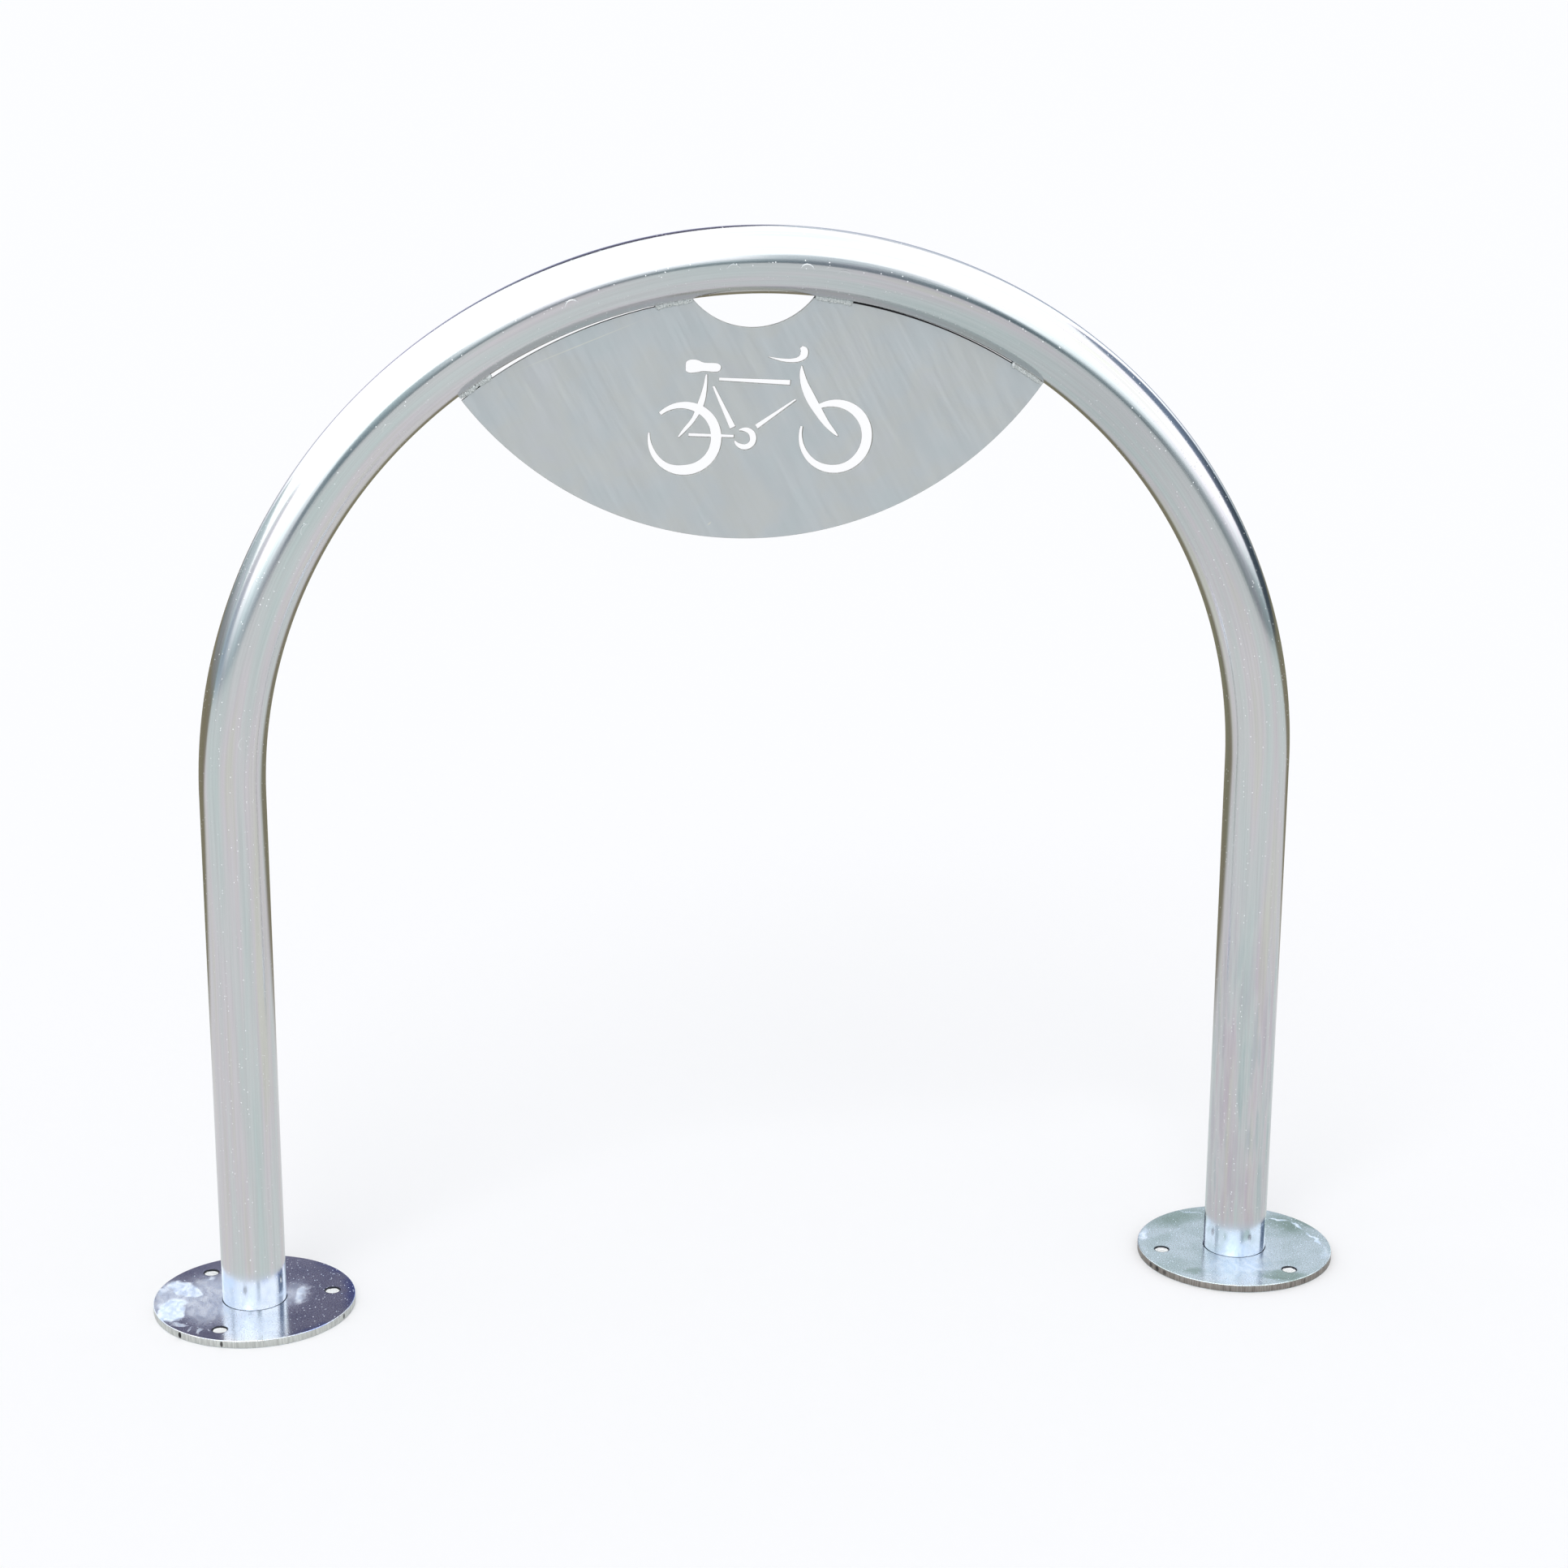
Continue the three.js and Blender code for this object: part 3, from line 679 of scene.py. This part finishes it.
def sign_plate():
    """The sheet stands in the hoop's plane, turned about the arch centre and shifted."""
    outlines = [plate_outline(), *bicycle_outlines()]
    profile = edge_profile(PLATE_THICKNESS / 2, PLATE_ARRIS)
    count = len(outlines)
    mesh = cut_sheet("sign_plate_zinc", outlines, [profile] * count, [1] * count)
    stand = Matrix.Rotation(math.pi / 2, 4, "X")
    turn = Matrix.Rotation(-PLATE_TURN, 4, "Y")
    shift = Matrix.Translation((PLATE_SIDE_SHIFT, 0, ARCH_HEIGHT))
    mesh.transform(shift @ turn @ stand)
    return mesh


def bolt_places(side):
    """Middles of a flange's bolt holes, from the flange's own middle."""
    turns = FLANGE_TURNS[side] + np.arange(BOLT_COUNT) / BOLT_COUNT * 2 * np.pi
    return BOLT_CIRCLE_RADIUS * np.stack([np.cos(turns), np.sin(turns)], -1)


def base_flange(side):
    """A round sheet with a socket for the tube and bolt holes chamfered at the top."""
    half = FLANGE_THICKNESS / 2
    outlines = [round_outline((0, 0), FLANGE_RADIUS, RIM_SIDES),
                round_outline((0, 0), TUBE_RADIUS + SOCKET_CLEARANCE, SOCKET_SIDES)]
    outlines += [round_outline(hole, BOLT_HOLE_RADIUS, HOLE_SIDES) for hole in bolt_places(side)]
    profiles = [edge_profile(half, FLANGE_ARRIS), edge_profile(half, HOLE_ARRIS)]
    profiles += [edge_profile(half, HOLE_ARRIS, BOLT_HOLE_CHAMFER)] * BOLT_COUNT
    finishes = [1, 1] + [2] * BOLT_COUNT
    mesh = cut_sheet(f"base_flange_{side}_zinc", outlines, profiles, finishes, True)
    mesh.transform(Matrix.Translation((FLANGE_PLACES[side], 0, half)))
    return mesh


def placed_angle(point):
    """Angle about the arch centre of a point of the plate, once the plate is in place."""
    cos, sin = math.cos(PLATE_TURN), math.sin(PLATE_TURN)
    x = cos * point[0] - sin * point[1] + PLATE_SIDE_SHIFT
    return math.atan2(sin * point[0] + cos * point[1], x)


def tube_surface(offset):
    """Distance from the arch centre of the tube's underside, this far from the hoop's plane."""
    return BEND_RADIUS - np.sqrt(TUBE_RADIUS**2 - offset**2)


def closed_skin(mesh):
    """Merges points that lie in one place, and turns the faces outwards."""
    work = bmesh.new()
    work.from_mesh(mesh)
    bmesh.ops.remove_doubles(work, verts=work.verts, dist=1e-7)
    bmesh.ops.recalc_face_normals(work, faces=work.faces)
    work.to_mesh(mesh)
    work.free()
    return mesh


def plate_weld(name, start, side, rough, knob, seed):
    """A bead in the corner of plate and tube, swept about the arch centre. Its section is a
    crown from the toe on the plate to the toe on the tube, closed through the metal. Ripples
    are curved back at their edges, the width wanders by a few sines, the ends are round, and
    one end swells to a knob."""
    rng = np.random.default_rng(seed)
    share = np.linspace(0, 1, WELD_RINGS)
    angle = start + share * WELD_LENGTH / TUBE_UNDERSIDE
    fullness = (1 - np.abs(2 * share - 1) ** 6) ** (1 / 3)
    waves = [rng.normal() * np.sin(2 * np.pi * (k * share * 2.3 + rng.random())) / k
             for k in range(1, 9)]
    size = WELD_END + (1 - WELD_END) * fullness
    size = size * (1 + rough * WELD_WANDER * np.sum(waves, axis=0))
    size = size * (1 + KNOB_SWELL * np.exp(-((share - knob) / KNOB_SHARE) ** 2))
    size = size[:, None]
    crown = np.linspace(0, 1, WELD_SIDES)
    face = PLATE_THICKNESS / 2
    drop = WELD_LEG * size * np.cos(crown * np.pi / 2) ** CROWN_POWER
    out = WELD_REACH * size * np.sin(crown * np.pi / 2) ** CROWN_POWER
    phase = share[:, None] * WELD_LENGTH / RIPPLE_PITCH + RIPPLE_CURVE * (crown - 0.5) ** 2
    phase = phase + rng.random()
    ripple = RIPPLE_HEIGHT * (np.abs(np.sin(np.pi * phase)) - 0.6)
    scale = [rng.normal() * np.sin(2 * np.pi * (i * share[:, None] * 7 + k * crown * 1.7
                                                + rng.random()))
             for i in range(1, 6) for k in range(1, 4)]
    ripple = (ripple + rough * SCALE_HEIGHT * np.sum(scale, axis=0)) * np.sin(np.pi * crown)
    push = 1 + ripple / np.hypot(drop, out)
    offset = face + out * push
    radius = tube_surface(offset) - drop * push
    root = np.full((WELD_RINGS, 1), face - WELD_ROOT)
    radius = np.concatenate([radius, tube_surface(root) + WELD_ROOT,
                             tube_surface(root) - 0.8 * WELD_LEG * size], 1)
    offset = np.concatenate([offset, root, root], 1)
    radius[[0, -1]] = radius[[0, -1]].mean(1, keepdims=True)
    offset[[0, -1]] = offset[[0, -1]].mean(1, keepdims=True)
    points = np.stack([radius * np.cos(angle)[:, None], side * offset,
                       ARCH_HEIGHT + radius * np.sin(angle)[:, None]], -1)
    return closed_skin(grid_mesh(name, points, close_second=True))


def base_weld(side):
    """A ring of weld under the tube's end, hollow below, with ripples round it."""
    around = np.linspace(0, 2 * np.pi, BASE_WELD_SIDES + 1)[:-1, None]
    turn = np.linspace(0, np.pi / 2, BASE_WELD_STEPS)
    wall = TUBE_RADIUS + SOCKET_CLEARANCE
    leg = TUBE_END_RECESS - BASE_WELD_LIFT
    ripple = 1 + BASE_RIPPLE_SHARE * np.abs(np.sin(BASE_RIPPLES * around))
    radius = np.append(wall - leg * ripple * (1 - np.cos(turn)), wall + 0 * around, 1)
    height = np.append(TUBE_END_RECESS - leg * (1 - np.sin(turn)) + 0 * around,
                       TUBE_END_RECESS + 0 * around, 1)
    points = np.stack([FLANGE_PLACES[side] + radius * np.cos(around),
                       radius * np.sin(around), height], -1)
    return closed_skin(grid_mesh(f"base_weld_{side}_zinc", points, True, True))


# Finishes. Each is zinc, so each is a metal, and only mill scale isn't: in gaps in a flange rim's
# zinc, and as painted shade on the plate's edge next to the tube.

def zinc_mottle(tree, place, sizes, detail=3.0):
    """Mottling whose spots have these sizes, in metres, along each axis."""
    scaled = add(tree, "Mapping", inputs={
        "Vector": place, "Scale": tuple(1 / size for size in sizes)})
    return add(tree, "TexNoise", inputs={"Vector": scaled, "Scale": 1.0, "Detail": detail})


def zinc_nodules(tree, place, spacing, size, kept):
    """Scattered dots of zinc, one or none to each cell of this spacing: 1 at the middle of a
    dot and 0 around it."""
    scaled = add(tree, "Mapping", inputs={"Vector": place, "Scale": (1 / spacing,) * 3})
    cells = add(tree, "TexVoronoi", inputs={"Vector": scaled, "Scale": 1.0}).outputs
    dot = add(tree, "MapRange", SMOOTH, {
        0: cells["Distance"], "From Min": 0.5 * size / spacing, "From Max": size / spacing,
        "To Min": 1.0, "To Max": 0.0})
    chosen = add(tree, "Math", {"operation": "LESS_THAN"}, {0: cells["Color"], 1: kept})
    return add(tree, "Math", {"operation": "MULTIPLY"}, {0: dot, 1: chosen})


def stain_patches(tree, place, level, rows):
    """Oval patches near a level of the place's Z: the strongest at a point counts."""
    value = 0.0
    for x, y, length, width, turn, strength, fade in rows:
        own = add(tree, "Mapping", {"vector_type": "TEXTURE"}, {
            "Vector": place, "Location": (x * MM, y * MM, level),
            "Rotation": (0, 0, math.radians(turn)),
            "Scale": (length * MM, width * MM, PATCH_DEPTH)})
        reach = add(tree, "VectorMath", {"operation": "LENGTH"}, {0: own})
        patch = add(tree, "MapRange", SMOOTH, {
            0: reach, "From Min": 1 - fade, "From Max": 1.0, "To Min": strength, "To Max": 0.0})
        value = add(tree, "Math", {"operation": "MAXIMUM"}, {0: patch, 1: value})
    return value


def clamp_marks(tree, straight):
    """The thin arcs that clamps left: a ring about a point on the tube's surface, kept only
    near its outer side."""
    value = 0.0
    reach = CLAMP_MARK_RADIUS / TUBE_RADIUS
    for along, angle, strength in CLAMP_MARKS:
        turns = math.radians(angle) + np.array([0.0, -reach])
        apex, middle = ((TUBE_RADIUS * math.cos(t), TUBE_RADIUS * math.sin(t), along)
                        for t in turns)
        near = add(tree, "VectorMath", {"operation": "DISTANCE"}, {0: straight, 1: apex})
        kept = add(tree, "MapRange", SMOOTH, {
            0: near, "From Min": 0.7 * CLAMP_MARK_RADIUS,
            "From Max": 1.2 * CLAMP_MARK_RADIUS, "To Min": strength, "To Max": 0.0})
        far = add(tree, "VectorMath", {"operation": "DISTANCE"}, {0: straight, 1: middle})
        offset = add(tree, "Math", {"operation": "SUBTRACT"}, {0: far, 1: CLAMP_MARK_RADIUS})
        offset = add(tree, "Math", {"operation": "ABSOLUTE"}, {0: offset})
        mark = add(tree, "MapRange", SMOOTH, {
            0: offset, "From Max": CLAMP_MARK_WIDTH, "To Min": kept, "To Max": 0.0})
        value = add(tree, "Math", {"operation": "MAXIMUM"}, {0: mark, 1: value})
    return value


def zinc_tube():
    """Bright zinc plate on drawn steel tube: satin, with pale rainbow bands left by the passivation
    that run lengthwise, fine drawing lines, nodules, clamp marks, painted shade over part of the
    arch and a painted reflection at the feet."""
    material, tree, shader = new_finish("bright_zinc_tube")
    straight = add(tree, "Attribute", {"attribute_name": "straight"}).outputs["Vector"]
    along = add(tree, "SeparateXYZ", inputs={0: straight}).outputs["Z"]
    share = add(tree, "Math", {"operation": "DIVIDE"}, {0: along, 1: TUBE_LENGTH})
    bands = zinc_mottle(tree, straight, (12 * MM, 12 * MM, 260 * MM), 2.0)
    tints = add(tree, "ValToRGB", {"stops": [
        (0.30, "#d0dad9"), (0.42, "#d6dbdb"), (0.50, "#d9dadb"), (0.58, "#ddd8dc"),
        (0.70, "#dbdad3")]}, {0: bands})
    lines = zinc_mottle(tree, straight, (1.2 * MM, 1.2 * MM, 110 * MM), 4.0)
    shade = add(tree, "ValToRGB", {"stops": [(0.35, 0.92), (0.6, 1.0)]}, {0: lines})
    colour = add(tree, "Mix", TINTED, {0: 1.0, 6: tints, 7: shade})
    # Painted shade: the arch is darker from its top down much of its right side.
    painted_arch_shade = add(tree, "ValToRGB", {"stops": [
        (0.38, "#ffffff"), (0.5, "#f7f8f9"), (0.65, "#ebedee"), (0.76, "#fdfefd"),
        (0.84, "#fdfefe"), (0.95, "#fafafa")]}, {0: share})
    colour = add(tree, "Mix", TINTED, {0: 1.0, 6: colour, 7: painted_arch_shade})
    wavy = zinc_mottle(tree, straight, (5 * MM, 5 * MM, 60 * MM), 5.0)
    rosy = add(tree, "ValToRGB", {"stops": [
        (0.35, "#f4eff5"), (0.47, "#fcfbfc"), (0.53, "#fdffff"), (0.65, "#eaf3f4")]}, {0: wavy})
    near_foot = add(tree, "MapRange", SMOOTH, {0: share, "From Min": 0.8, "From Max": 0.93})
    colour = add(tree, "Mix", TINTED, {0: near_foot, 6: colour, 7: rosy})
    # Painted reflection: the last few centimetres at each end are tinted blue-grey, for the flange
    # and sky that the feet mirror.
    from_middle = add(tree, "Math", {"operation": "SUBTRACT"}, {0: share, 1: 0.5})
    from_middle = add(tree, "Math", {"operation": "ABSOLUTE"}, {0: from_middle})
    painted_foot_reflection = add(tree, "MapRange", SMOOTH, {
        0: from_middle, "From Min": FOOT_REFLECTION_ENDS[0], "From Max": FOOT_REFLECTION_ENDS[1]})
    colour = add(tree, "Mix", LAID_OVER, {0: painted_foot_reflection, 6: colour, 7: "#ccd3de"})
    dots = zinc_nodules(tree, straight, 2.8 * MM, 0.5 * MM, 0.4)
    marks = add(tree, "Math", {"operation": "MAXIMUM"}, {0: clamp_marks(tree, straight), 1: dots})
    colour = add(tree, "Mix", LAID_OVER, {0: marks, 6: colour, 7: "#f8fafa"})
    cloud = zinc_mottle(tree, straight, (30 * MM, 30 * MM, 90 * MM), 4.0)
    gloss = add(tree, "MapRange", inputs={
        0: cloud, "From Min": 0.3, "From Max": 0.7, "To Min": 0.12, "To Max": 0.18})
    gloss = add(tree, "Mix", inputs={0: marks, 2: gloss, 3: 0.45})
    scored = add(tree, "Bump", inputs={"Strength": 0.1, "Distance": 0.2 * MM, "Height": lines})
    bumps = add(tree, "Bump", inputs={
        "Strength": 0.6, "Distance": 0.2 * MM, "Normal": scored, "Height": marks})
    feed(tree, shader, {"Metallic": 1.0, "Base Color": colour, "Roughness": gloss, "Normal": bumps})
    return material


def painted_gap_shade(tree, place, gap):
    """Painted shade on the plate, where the tube's underside comes within the gap."""
    upright = add(tree, "VectorMath", {"operation": "MULTIPLY"}, {0: place, 1: (1, 0, 1)})
    reach = add(tree, "VectorMath", {"operation": "DISTANCE"}, {0: upright, 1: (0, 0, ARCH_HEIGHT)})
    return add(tree, "MapRange", SMOOTH, {
        0: reach, "From Min": TUBE_UNDERSIDE - gap[1], "From Max": TUBE_UNDERSIDE - gap[0]})


def zinc_sheet():
    """Satin zinc plate on rolled sheet: cloudy, with faint slanting wipe marks, a few scratches on
    the front, and a dark strip of painted shade next to the tube."""
    material, tree, shader = new_finish("satin_zinc_sheet")
    place = add(tree, "TexCoord").outputs["Object"]
    turned = add(tree, "Mapping", inputs={"Vector": place, "Rotation": (0, math.radians(-62), 0)})
    wipes = zinc_mottle(tree, turned, (42 * MM, 3 * MM, 3 * MM))
    clouds = zinc_mottle(tree, place, (45 * MM,) * 3, 4.0)
    tints = add(tree, "ValToRGB", {"stops": [
        (0.32, "#cbd1d3"), (0.44, "#ced2d4"), (0.56, "#d0d2d1"), (0.68, "#d0d2d4")]}, {0: clouds})
    shade = add(tree, "ValToRGB", {"stops": [(0.3, 0.97), (0.7, 1.0)]}, {0: wipes})
    colour = add(tree, "Mix", TINTED, {0: 1.0, 6: tints, 7: shade})
    laid = add(tree, "Mapping", inputs={"Vector": place, "Rotation": (math.radians(-90), 0, 0)})
    scratches = stain_patches(tree, laid, PLATE_THICKNESS / 2, PLATE_SCRATCHES)
    colour = add(tree, "Mix", LAID_OVER, {0: scratches, 6: colour, 7: "#e4e3da"})
    # Painted shade: the plate's faces go dark where the tube's underside is near.
    colour = add(tree, "Mix", LAID_OVER, {
        0: painted_gap_shade(tree, place, FACE_GAP_SHADE), 6: colour, 7: MILL_SCALE_AND_GAP_SHADE})
    gloss = add(tree, "MapRange", inputs={
        0: wipes, "From Min": 0.3, "From Max": 0.7, "To Min": 0.34, "To Max": 0.42})
    bump = add(tree, "Bump", inputs={"Strength": 0.05, "Distance": 0.1 * MM, "Height": wipes})
    feed(tree, shader, {"Metallic": 1.0, "Base Color": colour, "Roughness": gloss, "Normal": bump})
    return material


def rim_gaps(tree, place, side):
    """The few gaps in the zinc on a flange's rim."""
    local = add(tree, "Mapping", inputs={
        "Vector": place, "Location": (-FLANGE_PLACES[side], 0, -FLANGE_THICKNESS / 2)})
    return stain_patches(tree, local, 0, RIM_MARKS[side])


def cut_edge(name, tints, bare_and_shade, where):
    """Zinc over a cut edge: rougher and warmer, with lines through the thickness. Where the given
    mask is set it is dark and no metal: mill scale where a flange rim's zinc has gaps, and painted
    shade on the plate's edge next to the tube."""
    material, tree, shader = new_finish(name)
    place = add(tree, "TexCoord").outputs["Object"]
    lines = zinc_mottle(tree, place, (1.2 * MM, 1.2 * MM, 12 * MM))
    colour = add(tree, "ValToRGB", {"stops": [(0.35, tints[0]), (0.65, tints[1])]}, {0: lines})
    # On the plate's edge this darkening is painted shade from the narrow gap under the tube; on a
    # flange's rim it is mill scale in gaps in the zinc.
    scale = bare_and_shade(tree, place, where)
    colour = add(tree, "Mix", LAID_OVER, {0: scale, 6: colour, 7: MILL_SCALE_AND_GAP_SHADE})
    zinc = add(tree, "Math", {"operation": "SUBTRACT"}, {0: 1.0, 1: scale})
    gloss = add(tree, "MapRange", inputs={0: scale, "To Min": 0.5, "To Max": 0.9})
    bump = add(tree, "Bump", inputs={"Strength": 0.35, "Distance": 0.3 * MM, "Height": lines})
    feed(tree, shader, {"Metallic": zinc, "Base Color": colour, "Roughness": gloss, "Normal": bump})
    return material


def zinc_flange(side):
    """Bright zinc plate on cut plate: glossy, with a whitish film where the passivating dip dried,
    stains left by the passivation, a fine grain, and scattered nodules."""
    material, tree, shader = new_finish(f"mottled_zinc_flange_{side}")
    place = add(tree, "TexCoord").outputs["Object"]
    local = add(tree, "Mapping", inputs={"Vector": place, "Location": (-FLANGE_PLACES[side], 0, 0)})
    ragged = add(tree, "TexNoise", inputs={
        "Vector": local, "Scale": 1 / (11 * MM), "Detail": 5.0}).outputs["Color"]
    shift = add(tree, "VectorMath", {"operation": "MULTIPLY_ADD"}, {
        0: ragged, 1: (2 * RAGGED_REACH, 2 * RAGGED_REACH, 0), 2: local})
    shift = add(tree, "VectorMath", {"operation": "SUBTRACT"}, {
        0: shift, 1: (RAGGED_REACH, RAGGED_REACH, 0)})
    film = stain_patches(tree, shift, FLANGE_THICKNESS, FLANGE_FILM[side])
    wisps = zinc_mottle(tree, shift, (4 * MM, 9 * MM, 1), 6.0)
    wispy = add(tree, "MapRange", inputs={
        0: wisps, "From Min": 0.35, "From Max": 0.62, "To Min": 0.74, "To Max": 1.0})
    film = add(tree, "Math", {"operation": "MULTIPLY"}, {0: film, 1: wispy})
    dots = zinc_nodules(tree, local, 2.4 * MM, 0.5 * MM, 0.4)
    film = add(tree, "Math", {"operation": "MAXIMUM"}, {0: film, 1: dots})
    clouds = zinc_mottle(tree, local, (20 * MM,) * 3, 5.0)
    tints = add(tree, "ValToRGB", {"stops": [
        (0.38, FLANGE_TINTS[side][0]), (0.6, FLANGE_TINTS[side][1])]}, {0: clouds})
    stains = stain_patches(tree, shift, FLANGE_THICKNESS, FLANGE_STAINS[side])
    colour = add(tree, "Mix", TINTED, {0: stains, 6: tints, 7: STAIN_TINTS[side]})
    # The real grain is about 0.3 mm. It is drawn three times as coarse, so that it shows.
    fine = zinc_mottle(tree, local, (0.9 * MM, 0.9 * MM, 1), 2.0)
    speckle = add(tree, "ValToRGB", {"stops": [
        (0.32, "#c9bcb4"), (0.48, "#f7f6f5"), (0.6, "#ffffff")]}, {0: fine})
    colour = add(tree, "Mix", TINTED, {0: 1.0, 6: colour, 7: speckle})
    dried = add(tree, "ValToRGB", {"stops": [(0.4, "#cddff5"), (0.6, "#e8f1fb")]}, {0: wisps})
    colour = add(tree, "Mix", LAID_OVER, {0: film, 6: colour, 7: dried})
    # Painted shade: a dark ring on the face round each bolt hole, for the shadowed chamfer.
    hole_ring_shade = stain_patches(tree, local, FLANGE_THICKNESS, [
        (*(hole / MM), HOLE_SHADE_REACH / MM, HOLE_SHADE_REACH / MM, 0, 0.7, 0.12)
        for hole in bolt_places(side)])
    colour = add(tree, "Mix", LAID_OVER, {0: hole_ring_shade, 6: colour, 7: "#3d4046"})
    gloss = add(tree, "MapRange", inputs={0: film, "To Min": 0.16, "To Max": 0.64})
    bump = add(tree, "Bump", inputs={"Strength": 0.4, "Distance": 0.15 * MM, "Height": dots})
    feed(tree, shader, {"Metallic": 1.0, "Base Color": colour, "Roughness": gloss, "Normal": bump})
    return material


def hole_painted_light_and_shade():
    """A drilled hole: its wall painted white and matt, painted light for the bright floor seen down
    the hole, and dark on the chamfer at the top, painted shade."""
    material, tree, shader = new_finish("hole_painted_light_and_shade")
    place = add(tree, "TexCoord").outputs["Object"]
    height = add(tree, "SeparateXYZ", inputs={0: place}).outputs["Z"]
    uneven = zinc_mottle(tree, place, (1.5 * MM, 1.5 * MM, 3 * MM))
    raised = add(tree, "Math", {"operation": "MULTIPLY_ADD"}, {0: uneven, 1: 1.2 * MM, 2: height})
    bare_and_shade = add(tree, "MapRange", SMOOTH, {
        0: raised, "From Min": FLANGE_THICKNESS - HOLE_SHADE_DEPTHS[0],
        "From Max": FLANGE_THICKNESS - HOLE_SHADE_DEPTHS[1]})
    # Painted light on the wall, and painted shade on the chamfer.
    colour = add(tree, "Mix", LAID_OVER, {0: bare_and_shade, 6: "#ffffff", 7: "#33353a"})
    feed(tree, shader, {"Metallic": 1.0, "Base Color": colour, "Roughness": 0.6})
    return material


def zinc_weld():
    """Zinc over a weld bead: the same metal, paler and matt on the bead's scale, with pits."""
    material, tree, shader = new_finish("frosted_zinc_weld")
    place = add(tree, "TexCoord").outputs["Object"]
    scale = zinc_mottle(tree, place, (0.9 * MM,) * 3)
    colour = add(tree, "ValToRGB", {"stops": [
        (0.35, "#b1b7b6"), (0.5, "#cdd1d0"), (0.65, "#e8ebea")]}, {0: scale})
    pits = zinc_nodules(tree, place, 1.8 * MM, 0.5 * MM, 0.25)
    colour = add(tree, "Mix", LAID_OVER, {0: pits, 6: colour, 7: "#4e4f4e"})
    bump = add(tree, "Bump", inputs={"Strength": 0.4, "Distance": 0.25 * MM, "Height": scale})
    feed(tree, shader, {"Metallic": 1.0, "Base Color": colour, "Roughness": 0.38, "Normal": bump})
    return material


def put(mesh, node, slot, *materials):
    """Shows a mesh in place of a node of the solids, in its finish."""
    for material in materials:
        mesh.materials.append(material)
    piece = link_object(mesh.name, mesh)
    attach(piece, "root")
    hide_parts(node)


place_camera()
pale_floor()
dim_screens()
pale_sky()
soft_lamp()

hole = hole_painted_light_and_shade()
weld = zinc_weld()
put(hoop_tube(), "hoop_tube", "tube_zinc", zinc_tube())
# The plate's edge gets painted shade next to the tube.
edge = cut_edge("cut_edge_zinc_plate", EDGE_TINTS, painted_gap_shade, EDGE_GAP_SHADE)
put(sign_plate(), "sign_plate", "plate_zinc", zinc_sheet(), edge)
for side in ("left", "right"):
    edge = cut_edge(f"cut_edge_zinc_{side}", RIM_TINTS[side], rim_gaps, side)
    put(base_flange(side), f"base_flange_{side}", "flange_zinc", zinc_flange(side), edge, hole)
    put(base_weld(side), f"base_weld_{side}", "weld_zinc", weld)

tips = {side: plate_corner(top, BOTTOM_EDGE) * [side, 1] for side, top in TOP_EDGES.items()}
corners = {side: plate_corner(top, SCOOP_EDGE) * [side, 1] for side, top in TOP_EDGES.items()}
sweep = WELD_LENGTH / TUBE_UNDERSIDE
beads = {  # start, roughness, and share of the length at which the knob lies
    "tip_left": (placed_angle(tips[-1]) - sweep, 1.0, 0.07),
    "tip_right": (placed_angle(tips[1]), 0.4, 0.95),
    "top_left": (placed_angle(corners[-1]), 0.4, 0.93),
    "top_right": (placed_angle(corners[1]) - sweep, 0.4, 0.07),
}
for number, (where, (start, rough, knob)) in enumerate(beads.items()):
    for face, side in (("front", -1), ("back", 1)):
        node = f"plate_weld_{where}_{face}"
        seed = 10 + 2 * number + (side > 0)
        mesh = plate_weld(f"{node}_zinc", start, side, rough, knob, seed)
        put(mesh, node, "weld_zinc", weld)

bpy.context.scene.view_settings.view_transform = "Standard"
